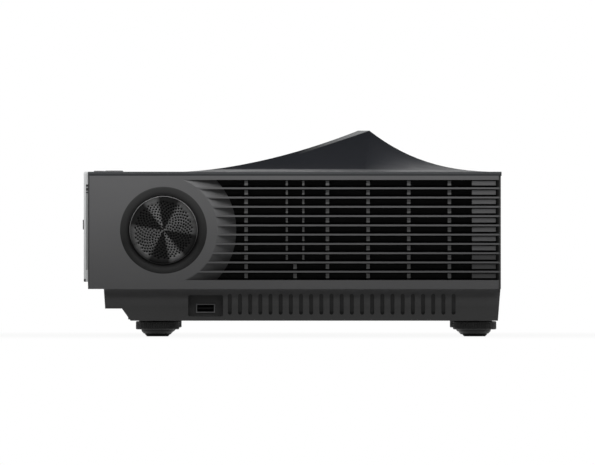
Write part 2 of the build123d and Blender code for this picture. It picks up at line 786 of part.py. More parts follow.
def rib_places():
    """Each rib behind the fins: its x, its width and the slots that it crosses, counted from below."""
    every = range(LOUVRE_COUNT)
    ribs = [(RIB_FIRST + RIB_PITCH * n, RIB_WIDE, every) for n in (0, 2, 3, 4, 5)]
    pair = RIB_FIRST + RIB_PITCH
    ribs.append((pair, RIB_NARROW, every[SHORT_RIB_ROWS:]))
    ribs.append((pair + RIB_PAIR_GAP, RIB_NARROW, every[SHORT_RIB_ROWS:]))
    ribs.append((pair + RIB_PAIR_GAP / 2, RIB_WIDE, every[:SHORT_RIB_ROWS]))
    return ribs


def louvre_window(start_radius, z0, z1):
    box = block(SPEAKER_X, LOUVRE_FRONT, LOUVRE_BOTTOM, LOUVRE_TOP, z0, z1)
    return box - rod_z(SPEAKER_X, SPEAKER_Z, z0 - 1, z1 + 1, start_radius)


def side_panel():
    plate = block(CASE_REAR, SIDE_FRONT, SIDE_BOTTOM, SIDE_TOP, -SIDE_SKIN, 0)
    plate = fillet(plate.edges().filter_by(Axis.Y).group_by(Axis.X)[0].sort_by(Axis.Z)[-1], SIDE_REAR_ROUND)
    plate -= louvre_window(RAMP_START, -SIDE_SKIN - 1, 1)
    # Scoop between the speaker and the open slots
    scoop = turned([
        (RAMP_START - 0.5, 0),
        (RAMP_START, 0),
        (RAMP_END, -RAMP_DEPTH),
        (RAMP_END, -RAMP_DEPTH - SIDE_SKIN),
        (RAMP_START - 0.5, -SIDE_SKIN),
    ])
    scoop = Pos(SPEAKER_X, SPEAKER_Z, 0) * scoop
    scoop &= block(SPEAKER_X, LOUVRE_FRONT, LOUVRE_BOTTOM, LOUVRE_TOP, -THROUGH, 1)
    # Frame that the fins run into above, below and at the front
    rim = block(SPEAKER_X + 20, SIDE_FRONT, LOUVRE_BOTTOM - 2, LOUVRE_TOP + 2, -FIN_DEPTH, -1)
    rim -= rod_z(SPEAKER_X, SPEAKER_Z, -THROUGH, THROUGH, RAMP_END - 6)
    rim -= block(SPEAKER_X, LOUVRE_FRONT, LOUVRE_BOTTOM, LOUVRE_TOP, -THROUGH, 1)
    pieces = [scoop, rim]
    slots = louvre_slots()
    for (_, low), (high, _) in zip(slots, slots[1:]):
        fin = block(SPEAKER_X, LOUVRE_FRONT + 0.5, low, high, -FIN_DEPTH, 0)
        pieces.append(fin - rod_z(SPEAKER_X, SPEAKER_Z, -THROUGH, THROUGH, RAMP_START - 0.2))
    # Inner lattice: a bar across each slot, tied by ribs, with a post in front of each crossing
    inner = -FIN_DEPTH + BACKING
    bands = [(high - BAR_TOP_GAP - BAR_HEIGHT, high - BAR_TOP_GAP) for _, high in slots]
    for low, high in bands:
        bar = block(SPEAKER_X, END_BLOCK_REAR + 1, low, high, -FIN_DEPTH, inner)
        pieces.append(bar - rod_z(SPEAKER_X, SPEAKER_Z, -THROUGH, THROUGH, RAMP_END - 0.6))
    for x, width, rows in rib_places():
        bottom, top = slots[rows[0]][0] - 0.5, slots[rows[-1]][1] + 0.5
        pieces.append(block(x - width / 2, x + width / 2, bottom, top, -FIN_DEPTH, inner))
        for row in rows:
            low, high = bands[row]
            pieces.append(block(x - width / 2, x + width / 2, low, high, inner - 0.5, -RIB_SET_BACK))
    # Closed front end of the slots with a block in each
    end = block(END_BLOCK_REAR, LOUVRE_FRONT + 0.5, LOUVRE_BOTTOM - 1, LOUVRE_TOP + 1, -FIN_DEPTH, inner)
    pieces.append(end)
    for low, high in bands:
        pieces.append(block(END_BLOCK_REAR, END_BLOCK_FRONT, low, high, inner - 0.5, -END_BLOCK_SET_BACK))
    # Speaker seat
    pieces.append(rod_z(SPEAKER_X, SPEAKER_Z, -SPEAKER_SEAT, -0.5, DISH_RADIUS + 1.5))
    plate += pieces
    plate -= Pos(SPEAKER_X, SPEAKER_Z, 0) * dish()
    plate -= rod_z(SPEAKER_X, SPEAKER_Z, -SPEAKER_SEAT - 1, 0, SPEAKER_SEAT_RADIUS)
    return plate


def dust_filter():
    """Sheet that stands behind the louvres on the chassis frame, in the left side's local frame."""
    face = -RAMP_DEPTH - SIDE_SKIN - FIT_GAP
    floor = SIDE_BOTTOM + FRAME_THICKNESS
    return block(*FILTER_X, floor, FILTER_TOP, face - FILTER_SHEET, face)


def speaker_grille():
    """Perforated dome in a thin rim, in the left side's local frame."""
    seat = -DISH_DEPTH
    sag = GRILLE_RISE
    ball = (GRILLE_RADIUS ** 2 + sag ** 2) / (2 * sag)
    top = seat + GRILLE_SHEET + sag

    def dome(shift):
        return Pos(0, 0, top - ball - shift) * Sphere(ball)

    step = GRILLE_HOLE_PITCH
    reach = math.ceil(2 * GRILLE_HOLE_FIELD / math.sqrt(3) / step)
    lattice = [(step * (column + row / 2), step * row * math.sqrt(3) / 2)
               for row in range(-reach, reach + 1) for column in range(-reach, reach + 1)]
    spots = [(x, y) for x, y in lattice if math.hypot(x, y) < GRILLE_HOLE_FIELD]
    holes = Sketch() + [Pos(x, y) * Circle(GRILLE_HOLE) for x, y in spots]
    sheet = extrude(Pos(0, 0, seat - 2) * (Circle(GRILLE_RADIUS) - holes), 8)
    sheet = (sheet & dome(0)) - dome(GRILLE_SHEET)
    sheet &= rod_z(0, 0, seat, seat + 8, GRILLE_RADIUS)
    rim = rod_z(0, 0, seat, seat + GRILLE_SHEET + GRILLE_RIM_RISE, GRILLE_RADIUS)
    rim -= rod_z(0, 0, seat - 1, seat + 9, GRILLE_RADIUS - GRILLE_RIM)
    return Pos(SPEAKER_X, SPEAKER_Z, 0) * (sheet + rim)


def speaker_frame():
    back = -SPEAKER_SEAT
    deep = back - BASKET_DEPTH
    basket = turned([
        (BASKET_RADIUS, back),
        (BASKET_RADIUS, back - BASKET_FLANGE),
        (CONE_RADIUS + BASKET_CLEAR + BASKET_WALL, back - BASKET_FLANGE),
        (CONE_RADIUS + BASKET_CLEAR + BASKET_WALL, back - BASKET_FLANGE - BASKET_STRAIGHT),
        (MAGNET_RADIUS, deep + BASKET_WALL),
        (MAGNET_RADIUS, deep - MAGNET_DEPTH),
        (0, deep - MAGNET_DEPTH),
        (0, deep),
        (CONE_NECK + POLE_GAP, deep),
        (CONE_RADIUS + BASKET_CLEAR, back - BASKET_FLANGE - BASKET_STRAIGHT),
        (CONE_RADIUS + BASKET_CLEAR, back),
    ])
    for n in range(BASKET_WINDOWS):
        turn = 360 / BASKET_WINDOWS * (n + 0.5)
        window = Rot(0, 0, turn) * Pos(CONE_RADIUS, 0, back - BASKET_DEPTH / 2 - 1) * Box(*BASKET_WINDOW)
        basket -= window
    return Pos(SPEAKER_X, SPEAKER_Z, 0) * basket


def speaker_cone():
    front = -SPEAKER_SEAT - CONE_GAP
    deep = front - CONE_DEPTH
    cone = turned([
        (CONE_RADIUS, front),
        (CONE_RADIUS + CONE_SURROUND, front - CONE_DROP),
        (CONE_RADIUS + CONE_SURROUND, front - CONE_DROP - CONE_ROLL),
        (CONE_RADIUS - 0.5, front - 1.6),
        (CONE_NECK, deep - CONE_SHEET),
        (CONE_NECK, deep - CONE_TUBE),
        (CONE_NECK - CONE_SHEET, deep - CONE_TUBE),
        (CONE_NECK - CONE_SHEET, deep),
        (0, deep + CONE_CAP_RISE),
        (0, deep + CONE_CAP_RISE + CONE_SHEET),
        (CONE_NECK, deep + 0.6),
    ])
    return Pos(SPEAKER_X, SPEAKER_Z, 0) * cone


# Front, rear and what shows in them


def front_panel():
    half = HALF - FIN_DEPTH - 2 * FIT_GAP
    floor = SIDE_BOTTOM
    panel = block(FRONT_FACE - PANEL_WALL, FRONT_FACE, -half, half, floor, SIDE_TOP)
    lip = block(FRONT_FACE - FRONT_LIP, FRONT_FACE, -FRONT_LIP_HALF, FRONT_LIP_HALF, floor, SIDE_TOP)
    lip = fillet(lip.edges().filter_by(Axis.Z).group_by(Axis.X)[-1], FRONT_LIP - 0.1)
    panel += lip
    wide, high = FRONT_IR_SIZE
    panel -= block(FRONT_FACE - THROUGH, FRONT_FACE + THROUGH, -wide / 2 - FIT_GAP, wide / 2 + FIT_GAP,
                   FRONT_IR_Z - high / 2 - FIT_GAP, FRONT_IR_Z + high / 2 + FIT_GAP)
    return panel


def front_ir_window():
    wide, high = FRONT_IR_SIZE
    face = FRONT_FACE + FRONT_IR_PROUD
    window = block(FRONT_FACE - PANEL_WALL, face, -wide / 2, wide / 2,
                   FRONT_IR_Z - high / 2, FRONT_IR_Z + high / 2)
    window = fillet(window.edges().filter_by(Axis.X), FRONT_IR_ROUND)
    back = FRONT_FACE - PANEL_WALL
    half_y, half_z = wide / 2 + FRONT_IR_FLANGE_REACH, high / 2 + FRONT_IR_FLANGE_REACH
    flange = block(back - FRONT_IR_FLANGE, back, -half_y, half_y, FRONT_IR_Z - half_z, FRONT_IR_Z + half_z)
    return window + flange


def main_board_top():
    return SIDE_BOTTOM + FRAME_THICKNESS + MAIN_BOARD_LIFT + BOARD_THICKNESS


def rear_hole(y, z, size, grow):
    wide, high = size
    half_y, half_z = wide / 2 + grow, high / 2 + grow
    rear, front = CASE_REAR - THROUGH / 2, CASE_REAR + THROUGH / 2
    return block(rear, front, y - half_y, y + half_y, z - half_z, z + half_z)


def socket_centre(size):
    return main_board_top() + size[1] / 2


def rear_panel():
    half = HALF - SIDE_SKIN - FIT_GAP
    floor = SIDE_BOTTOM + FRAME_THICKNESS
    panel = block(REAR_PLATE_FACE, CASE_REAR, -REAR_HALF, REAR_HALF, REAR_PLATE_BOTTOM, DECK_TOP)
    panel += block(CASE_REAR - 0.1, REAR_PLATE_FACE + PANEL_WALL, -half, half, floor, SIDE_TOP - FIT_GAP)
    for y in HDMI_Y:
        panel -= rear_hole(y, socket_centre(HDMI_OUTER), HDMI_OUTER, FIT_GAP)
    panel -= rear_hole(REAR_USB_Y, socket_centre(USB_SHELL), USB_SHELL, FIT_GAP)
    panel -= rear_hole(NETWORK_Y, socket_centre(NETWORK_OUTER), NETWORK_OUTER, FIT_GAP)
    for y in AUDIO_Y:
        panel -= rear_hole(y, socket_centre(AUDIO_OUTER), AUDIO_OUTER, FIT_GAP)
    panel -= rear_hole(INLET_Y, INLET_Z, INLET_OUTER, FIT_GAP)
    for n in range(REAR_SLOT_ROWS):
        z = REAR_SLOT_BOTTOM + REAR_SLOT_PITCH * n
        for y in REAR_SLOT_Y:
            panel -= block(CASE_REAR - THROUGH / 2, CASE_REAR + THROUGH / 2, y, y + REAR_SLOT_LENGTH,
                           z, z + REAR_SLOT_HEIGHT)
    return panel


def rear_trim():
    z0, z1 = REAR_PLATE_BOTTOM, DECK_TOP
    trim = block(REAR_TRIM_FACE, REAR_PLATE_FACE, -REAR_HALF, REAR_HALF, z0, z1)
    inner = REAR_HALF - REAR_TRIM_WIDTH
    low, high = z0 + REAR_TRIM_WIDTH, z1 - REAR_TRIM_WIDTH
    trim -= block(REAR_TRIM_FACE - 1, REAR_PLATE_FACE + 1, -inner, inner, low, high)
    trim = fillet(trim.edges().filter_by(Axis.Y).group_by(Axis.X)[0].sort_by(Axis.Z)[-1], TRIM_ROUND)
    return chamfer(trim.edges().filter_by(Axis.Y).group_by(Axis.X)[0], TRIM_CHAMFER)


def rear_ir_window():
    low, high = IR_WINDOW_Z
    face = REAR_TRIM_FACE - IR_WINDOW_PROUD
    half = IR_WINDOW_WIDTH / 2
    window = block(face, REAR_PLATE_FACE, IR_WINDOW_Y - half, IR_WINDOW_Y + half, low, high)
    return fillet(window.edges().filter_by(Axis.Z).group_by(Axis.X)[0], IR_WINDOW_ROUND)


def receptacle(size, inside, tongue, depth):
    """Metal shell with a tongue, its mouth at x = 0 and facing -X, centred on y and z."""
    shell = block(0, depth, -size[0] / 2, size[0] / 2, -size[1] / 2, size[1] / 2)
    shell -= block(-1, depth - SHELL_END, -inside[0] / 2, inside[0] / 2, -inside[1] / 2, inside[1] / 2)
    half_y, half_z = tongue[0] / 2, tongue[1] / 2
    return shell + block(TONGUE_SET_BACK, depth - 1, -half_y, half_y, -half_z, half_z)


def side_usb_socket():
    socket = receptacle(USB_SHELL, USB_INSIDE, USB_TONGUE, USB_LENGTH)
    mouth = -TRAY_HALF + POCKET_DEPTH - USB_PROUD
    return Pos(USB_X, mouth, USB_Z) * Rot(0, 0, 90) * socket


def media_sockets():
    mouth = REAR_PLATE_FACE + SOCKET_RECESS
    sockets = []
    for y in HDMI_Y:
        socket = receptacle(HDMI_OUTER, HDMI_INSIDE, HDMI_TONGUE, SOCKET_DEPTH)
        sockets.append(Pos(mouth, y, socket_centre(HDMI_OUTER)) * socket)
    socket = receptacle(USB_SHELL, USB_INSIDE, USB_TONGUE, SOCKET_DEPTH)
    sockets.append(Pos(mouth, REAR_USB_Y, socket_centre(USB_SHELL)) * socket)
    return sockets


def network_socket():
    mouth = REAR_PLATE_FACE + SOCKET_RECESS
    wide, high = NETWORK_OUTER
    socket = block(0, SOCKET_DEPTH + 3, -wide / 2, wide / 2, -high / 2, high / 2)
    socket -= block(-1, SOCKET_DEPTH, -NETWORK_INSIDE[0] / 2, NETWORK_INSIDE[0] / 2,
                    -NETWORK_INSIDE[1] / 2, NETWORK_INSIDE[1] / 2)
    socket -= block(-1, LATCH_DEPTH, -LATCH_HALF, LATCH_HALF, -high / 2 + 1.0, 0)
    return Pos(mouth, NETWORK_Y, socket_centre(NETWORK_OUTER)) * socket


def audio_jacks():
    mouth = REAR_PLATE_FACE + SOCKET_RECESS
    jacks = []
    for y in AUDIO_Y:
        z = socket_centre(AUDIO_OUTER)
        wide, high = AUDIO_OUTER
        jack = block(mouth, mouth + SOCKET_DEPTH, y - wide / 2, y + wide / 2, z - high / 2, z + high / 2)
        jacks.append(jack - rod_x(mouth - 1, mouth + SOCKET_DEPTH - 2, y, z, AUDIO_RADIUS))
    return jacks


def power_inlet():
    mouth = REAR_PLATE_FACE - INLET_FLANGE
    wide, high = INLET_OUTER
    inlet = block(REAR_PLATE_FACE, REAR_PLATE_FACE + INLET_DEPTH, INLET_Y - wide / 2, INLET_Y + wide / 2,
                  INLET_Z - high / 2, INLET_Z + high / 2)
    half_y, half_z = wide / 2 + INLET_FLANGE_REACH, high / 2 + INLET_FLANGE_REACH
    inlet += block(mouth, REAR_PLATE_FACE, INLET_Y - half_y, INLET_Y + half_y,
                   INLET_Z - half_z, INLET_Z + half_z)
    cavity = INLET_INSIDE
    inlet -= block(mouth - 1, mouth + INLET_CAVITY, INLET_Y - cavity[0] / 2, INLET_Y + cavity[0] / 2,
                   INLET_Z - cavity[1] / 2, INLET_Z + cavity[1] / 2)
    for n in (-1, 0, 1):
        offset = INLET_PIN_PITCH * n
        rise = INLET_PIN_RISE * (1 - 2 * abs(n))
        y = INLET_Y + offset
        z = INLET_Z + rise
        inlet += block(mouth + INLET_PIN_SET_BACK, mouth + INLET_CAVITY + 1, y - INLET_PIN[0] / 2,
                       y + INLET_PIN[0] / 2, z - INLET_PIN[1] / 2, z + INLET_PIN[1] / 2)
    return inlet


def main_board():
    top = main_board_top()
    low = top - BOARD_THICKNESS
    board = block(*MAIN_BOARD_X, *MAIN_BOARD_Y, low, top)
    for x in (FRAME_BAR_X[0], MAIN_BOARD_X[0] + BOARD_PILLAR_INSET):
        for y in (FRAME_BAR_Y[0], MAIN_BOARD_Y[0] + BOARD_PILLAR_INSET):
            if x == FRAME_BAR_X[0] or y == FRAME_BAR_Y[0]:
                board += rod_z(x, y, low - MAIN_BOARD_LIFT, low, BOARD_PILLAR_RADIUS)
    for x, y, size, height in CHIPS:
        board += block(x - size / 2, x + size / 2, y - size / 2, y + size / 2, top, top + height)
    return board


def power_board():
    low = TRAY_BOTTOM + TRAY_WALL + POWER_BOARD_LIFT
    top = low + BOARD_THICKNESS
    board = block(*POWER_BOARD_X, *POWER_BOARD_Y, low, top)
    inset = BOARD_PILLAR_INSET
    for x in (POWER_BOARD_X[0] + inset, POWER_BOARD_X[1] - inset):
        for y in (POWER_BOARD_Y[0] + inset, POWER_BOARD_Y[1] - inset):
            board += rod_z(x, y, low - POWER_BOARD_LIFT, low, BOARD_PILLAR_RADIUS)
    tall = top + POWER_PART_HEIGHT
    half = POWER_PART_WIDTH / 2
    y0, y1 = POWER_BOARD_Y[0] + POWER_PART_Y[0], POWER_BOARD_Y[0] + POWER_PART_Y[1]
    for n in range(POWER_PARTS):
        x = POWER_BOARD_X[0] + POWER_PART_FIRST + POWER_PART_PITCH * n
        board += block(x - half, x + half, y0, y1, top, tall)
        board += rod_z(x, POWER_BOARD_Y[0] + CAPACITOR_Y, top, tall, CAPACITOR_RADIUS)
    return board


# Light engine


def engine_floor():
    return SIDE_BOTTOM + FRAME_THICKNESS + ENGINE_LIFT


def engine_housing():
    x0, x1 = ENGINE_X
    floor = engine_floor()
    shell = block(x0, x1, -ENGINE_HALF, ENGINE_HALF, floor, ENGINE_TOP)
    shell = fillet(shell.edges().filter_by(Axis.Z), ENGINE_ROUND)
    wall = ENGINE_WALL
    inner = ENGINE_HALF - wall
    shell -= block(x0 + wall, x1 - wall, -inner, inner, floor + wall, ENGINE_TOP - wall)
    shell -= rod_x(x1 - 10, x1 + 1, 0, AXIS_Z, BARREL_BORE)
    shell -= rod_y(LASER_X, ENGINE_HALF - 10, ENGINE_HALF + 1, WHEEL_Z, LASER_BEAM_RADIUS)
    wide, tall = DMD_CHIP_HALF
    shell -= block(x0 - 1, x0 + 10, -wide, wide, AXIS_Z - tall, AXIS_Z + tall)
    for x in (FRAME_BAR_X[0] + 2, FRAME_BAR_X[1]):
        for y in (-ENGINE_HALF + ENGINE_FOOT_INSET, ENGINE_HALF - ENGINE_FOOT_INSET):
            half = ENGINE_FOOT / 2 - 1
            shell += block(x - half, x + half, y - half, y + half, floor - ENGINE_LIFT, floor)
    for n in range(ENGINE_RIBS):
        y = ENGINE_RIB_PITCH * (n - (ENGINE_RIBS - 1) / 2)
        shell += block(x0 + 8, x1 - 8, y - ENGINE_RIB / 2, y + ENGINE_RIB / 2,
                       ENGINE_TOP, ENGINE_TOP + ENGINE_RIB_RISE)
    return shell


def focus_middle():
    return (ENGINE_X[1] + BARREL_CELL_REAR) / 2


def lens_barrel():
    rear = ENGINE_X[1]
    cell = BARREL_CELL_REAR
    body = rod_x(rear, rear + BARREL_FLANGE, 0, AXIS_Z, BARREL_FLANGE_RADIUS)
    body += rod_x(rear, cell, 0, AXIS_Z, BARREL_RADIUS)
    body += rod_x(cell, BARREL_FRONT, 0, AXIS_Z, BARREL_CELL_RADIUS)
    for n in range(CELL_GROOVES):
        x = cell + 4 + CELL_GROOVE_PITCH * n
        groove = rod_x(x, x + CELL_GROOVE_WIDTH, 0, AXIS_Z, BARREL_CELL_RADIUS + 1)
        body -= groove - rod_x(x - 1, x + 4, 0, AXIS_Z, BARREL_CELL_RADIUS - CELL_GROOVE_DEPTH)
    body -= rod_x(rear - 1, cell + 1, 0, AXIS_Z, BARREL_BORE)
    body -= rod_x(cell + 3, BARREL_FRONT - FRONT_LENS_EDGE - LENS_RETAINER, 0, AXIS_Z, LENS_SEAT)
    body -= rod_x(cell - 1, cell + 5, 0, AXIS_Z, BARREL_BORE)
    body -= rod_x(BARREL_FRONT - FRONT_LENS_EDGE - LENS_RETAINER, BARREL_FRONT + 1, 0, AXIS_Z,
                  FRONT_LENS_RADIUS + FIT_GAP)
    middle = focus_middle()
    reach = CARRIAGE_ARM / 2 + FOCUS_TRAVEL + 1.0
    body -= block(middle - reach, middle + reach, 0, BARREL_RADIUS + 1,
                  AXIS_Z - CARRIAGE_ARM, AXIS_Z + CARRIAGE_ARM)
    # Ears for the focus motor and for the far end of its screw
    for x in (middle - FOCUS_EAR_REAR, middle + FOCUS_EAR_FRONT):
        ear = block(x, x + FOCUS_BEARING, BARREL_RADIUS - 3, FOCUS_SCREW_Y + FOCUS_EAR_REACH,
                    AXIS_Z - FOCUS_EAR_HALF, AXIS_Z + FOCUS_EAR_HALF)
        body += ear - rod_x(x - 1, x + FOCUS_BEARING + 1, FOCUS_SCREW_Y, AXIS_Z,
                            FOCUS_SCREW_RADIUS + RUNNING_GAP)
    return body - rod_x(rear - 1, cell + 1, 0, AXIS_Z, BARREL_BORE)


def lens_elements():
    radius = FRONT_LENS_RADIUS
    edge = FRONT_LENS_EDGE
    bulge = FRONT_LENS_BULGE
    ball = (radius ** 2 + bulge ** 2) / (2 * bulge)
    half_angle = math.asin(radius / ball) / 2
    bow = (ball * math.sin(half_angle), edge + bulge - ball * (1 - math.cos(half_angle)))
    profile = make_face([
        Line((0, 0), (radius, 0)),
        Line((radius, 0), (radius, edge)),
        ThreePointArc((radius, edge), bow, (0, edge + bulge)),
        Line((0, edge + bulge), (0, 0)),
    ])
    lens = revolve(Plane.XZ * profile, Axis.Z)
    return Pos(BARREL_FRONT - edge - LENS_RETAINER, 0, AXIS_Z) * Rot(0, 90, 0) * lens


def focus_carriage():
    middle = focus_middle()
    half = CARRIAGE_LENGTH / 2
    ring = rod_x(middle - half, middle + half, 0, AXIS_Z, BARREL_BORE - RUNNING_GAP)
    ring -= rod_x(middle - half - 1, middle + half + 1, 0, AXIS_Z, CARRIAGE_BORE)
    glass = rod_x(middle - FOCUS_LENS_HALF, middle + FOCUS_LENS_HALF, 0, AXIS_Z, CARRIAGE_BORE + 0.5)
    arm = CARRIAGE_ARM / 2
    nut = FOCUS_NUT
    carriage = ring + glass
    carriage += block(middle - arm, middle + arm, CARRIAGE_BORE + 1, FOCUS_SCREW_Y + nut,
                      AXIS_Z - nut, AXIS_Z + nut)
    return carriage - rod_x(middle - THROUGH, middle + THROUGH, FOCUS_SCREW_Y, AXIS_Z,
                            FOCUS_SCREW_RADIUS + RUNNING_GAP)


def focus_screw():
    middle = focus_middle()
    end = middle + FOCUS_EAR_FRONT + FOCUS_BEARING + FOCUS_HEAD
    start = middle - FOCUS_EAR_REAR - FOCUS_MOTOR_LENGTH + 2
    rod = rod_x(start, end, FOCUS_SCREW_Y, AXIS_Z, FOCUS_SCREW_RADIUS)
    return rod + rod_x(end, end + FOCUS_HEAD, FOCUS_SCREW_Y, AXIS_Z, FOCUS_SCREW_RADIUS + 1.0)


def focus_motor():
    face = focus_middle() - FOCUS_EAR_REAR
    rear = face - FOCUS_MOTOR_LENGTH
    can = rod_x(rear, face, FOCUS_SCREW_Y, AXIS_Z, FOCUS_MOTOR_RADIUS)
    return can - rod_x(rear + 1, face + 1, FOCUS_SCREW_Y, AXIS_Z, FOCUS_SCREW_RADIUS + RUNNING_GAP)


def mirror_ball(radius):
    return Pos(MIRROR_FACE_X - MIRROR_CURVE, 0, MIRROR_Z) * Sphere(radius)


def concave_mirror():
    rear, front = MIRROR_FACE_X - THROUGH, MIRROR_FACE_X + THROUGH
    blank = block(rear, front, -MIRROR_HALF_Y, MIRROR_HALF_Y, MIRROR_LOW, MIRROR_HIGH)
    return (blank & mirror_ball(MIRROR_CURVE + MIRROR_SHEET)) - mirror_ball(MIRROR_CURVE)


def mirror_bracket():
    floor = SIDE_BOTTOM + FRAME_THICKNESS
    x0, x1 = MIRROR_PLATE_X, MIRROR_PLATE_X + MIRROR_PLATE
    half = MIRROR_PLATE_HALF
    foot_rear = FRAME_BAR_X[3] - FRAME_BAR / 2 + 1
    bracket = block(x0, x1, -half, half, floor, MIRROR_HIGH - 2)
    bracket += block(foot_rear, x1, -half, half, floor, floor + MIRROR_PLATE)
    for y in (-half, half - MIRROR_PLATE):
        rib = Polyline((foot_rear, floor), (x1, floor), (x1, floor + MIRROR_RIB_RISE), close=True)
        bracket += Pos(0, y + MIRROR_PLATE, 0) * extrude(Plane.XZ * make_face(rib), MIRROR_PLATE)
    for y in (-MIRROR_PAD_Y, MIRROR_PAD_Y):
        for z in MIRROR_PAD_Z:
            bracket += rod_x(MIRROR_FACE_X - MIRROR_PAD_LENGTH, x0 + 1, y, z, MIRROR_PAD_RADIUS)
    return bracket - mirror_ball(MIRROR_CURVE + MIRROR_SHEET + MIRROR_PAD_GAP)


def dmd_board():
    face = ENGINE_X[0] - DMD_STANDOFF
    low = AXIS_Z - DMD_BOARD_HEIGHT / 2
    high = AXIS_Z + DMD_BOARD_HEIGHT / 2
    board = block(face - BOARD_THICKNESS, face, -DMD_BOARD_HALF, DMD_BOARD_HALF, low, high)
    inset = DMD_PILLAR_INSET
    for y in (-DMD_BOARD_HALF + inset, DMD_BOARD_HALF - inset):
        for z in (low + inset, high - inset):
            board += rod_x(face, ENGINE_X[0], y, z, DMD_PILLAR_RADIUS)
    wide, tall = DMD_CHIP_HALF
    return board + block(face, ENGINE_X[0] - 0.5, -wide, wide, AXIS_Z - tall, AXIS_Z + tall)


def dmd_heat_sink():
    face = ENGINE_X[0] - DMD_STANDOFF - BOARD_THICKNESS
    half = DMD_SINK_HALF
    tall = DMD_SINK_HALF_HEIGHT
    sink = block(face - SINK_BASE, face, -half, half, AXIS_Z - tall, AXIS_Z + tall)
    pitch = (2 * half - SINK_FIN) / (DMD_SINK_FINS - 1)
    for n in range(DMD_SINK_FINS):
        y = -half + pitch * n
        sink += block(face - DMD_SINK_DEPTH, face - SINK_BASE + 0.1, y, y + SINK_FIN,
                      AXIS_Z - tall, AXIS_Z + tall)
    return sink


def laser_rear_y():
    return ENGINE_HALF + LASER_GAP + LASER_DEPTH


def laser_module():
    x0, x1 = ENGINE_X
    floor = engine_floor()
    near = ENGINE_HALF + LASER_GAP
    module = block(x0, x1, near, laser_rear_y(), floor, floor + LASER_HEIGHT)
    half = ENGINE_FOOT / 2 - 1
    for x in (FRAME_BAR_X[0] + 2, FRAME_BAR_X[1]):
        for y in (near + LASER_FOOT_INSET, laser_rear_y() - LASER_FOOT_INSET):
            module += block(x - half, x + half, y - half, y + half, floor - ENGINE_LIFT, floor)
    columns, rows = LASER_CAPS
    for column in range(columns):
        for row in range(rows):
            x = LASER_X + LASER_CAP_PITCH[0] * (column - (columns - 1) / 2)
            z = floor + LASER_HEIGHT / 2 + LASER_CAP_PITCH[1] * (row - (rows - 1) / 2)
            module += rod_y(x, near - LASER_CAP_PROUD, near, z, LASER_CAP_RADIUS)
    return module


def laser_heat_sink():
    x0, x1 = ENGINE_X
    floor = engine_floor()
    near = laser_rear_y()
    sink = block(x0, x1, near, near + SINK_BASE, floor, floor + LASER_HEIGHT)
    pitch = (x1 - x0 - SINK_FIN) / (LASER_SINK_FINS - 1)
    for n in range(LASER_SINK_FINS):
        x = x0 + pitch * n
        sink += block(x, x + SINK_FIN, near + SINK_BASE - 0.1, near + LASER_SINK_DEPTH,
                      floor, floor + LASER_HEIGHT)
    return sink


def wheel_motor():
    face = WHEEL_X + WHEEL_SHEET + WHEEL_MOTOR_GAP
    back = face + WHEEL_MOTOR_LENGTH
    floor = SIDE_BOTTOM + FRAME_THICKNESS
    motor = rod_x(face, back, WHEEL_Y, WHEEL_Z, WHEEL_MOTOR_RADIUS)
    motor += rod_x(WHEEL_X - WHEEL_HUB - 1, face, WHEEL_Y, WHEEL_Z, WHEEL_SHAFT_RADIUS)
    motor += block(back, back + WHEEL_PLATE, FRAME_BAR_Y[1] - WHEEL_PLATE_REACH, WHEEL_Y + WHEEL_MOTOR_RADIUS,
                   floor, WHEEL_Z + WHEEL_MOTOR_RADIUS)
    return motor + block(back - WHEEL_FOOT, back + WHEEL_PLATE, FRAME_BAR_Y[1] - WHEEL_PLATE_REACH,
                         FRAME_BAR_Y[1] + WHEEL_PLATE_REACH, floor, floor + WHEEL_PLATE)


def phosphor_wheel():
    wheel = rod_x(WHEEL_X, WHEEL_X + WHEEL_SHEET, WHEEL_Y, WHEEL_Z, WHEEL_RADIUS)
    wheel += rod_x(WHEEL_X - WHEEL_HUB, WHEEL_X, WHEEL_Y, WHEEL_Z, WHEEL_HUB_RADIUS)
    front = WHEEL_X - WHEEL_HUB
    wheel -= rod_x(front, front + 1, WHEEL_Y + WHEEL_HUB_RADIUS - 3, WHEEL_Z, WHEEL_MARK_RADIUS)
    return wheel - rod_x(WHEEL_X - THROUGH, WHEEL_X + THROUGH, WHEEL_Y, WHEEL_Z,
                         WHEEL_SHAFT_RADIUS + RUNNING_GAP)


# Fans


def fan_middle_z():
    return SIDE_BOTTOM + FRAME_THICKNESS + FAN_SIZE / 2


def fan_frame():
    """Left fan's frame. Its open side faces the louvres and its struts face inwards."""
    y0 = -FAN_OUTER_Y
    y1 = y0 + FAN_DEPTH
    z = fan_middle_z()
    half = FAN_SIZE / 2
    frame = block(FAN_X - half, FAN_X + half, y0, y1, z - half, z + half)
    frame = fillet(frame.edges().filter_by(Axis.Y), FAN_ROUND)
    frame -= rod_y(FAN_X, y0 - 1, y1 + 1, z, FAN_BORE)
    inset = half - FAN_HOLE_INSET
    for x in (FAN_X - inset, FAN_X + inset):
        for hole_z in (z - inset, z + inset):
            frame -= rod_y(x, y0 - 1, y1 + 1, hole_z, FAN_HOLE_RADIUS)
    reach = FAN_BORE + 0.5
    strut = block(FAN_X - FAN_STRUT / 2, FAN_X + FAN_STRUT / 2, y1 - FAN_STRUT, y1, z - reach, z + reach)
    for turn in (45, 135):
        frame += Pos(FAN_X, 0, z) * Rot(0, turn, 0) * Pos(-FAN_X, 0, -z) * strut
    frame += rod_y(FAN_X, y1 - FAN_STRUT, y1, z, FAN_HUB_RADIUS)
    return frame - rod_y(FAN_X, y1 - FAN_STRUT - 1, y1 + 1, z, FAN_SHAFT_RADIUS + RUNNING_GAP)


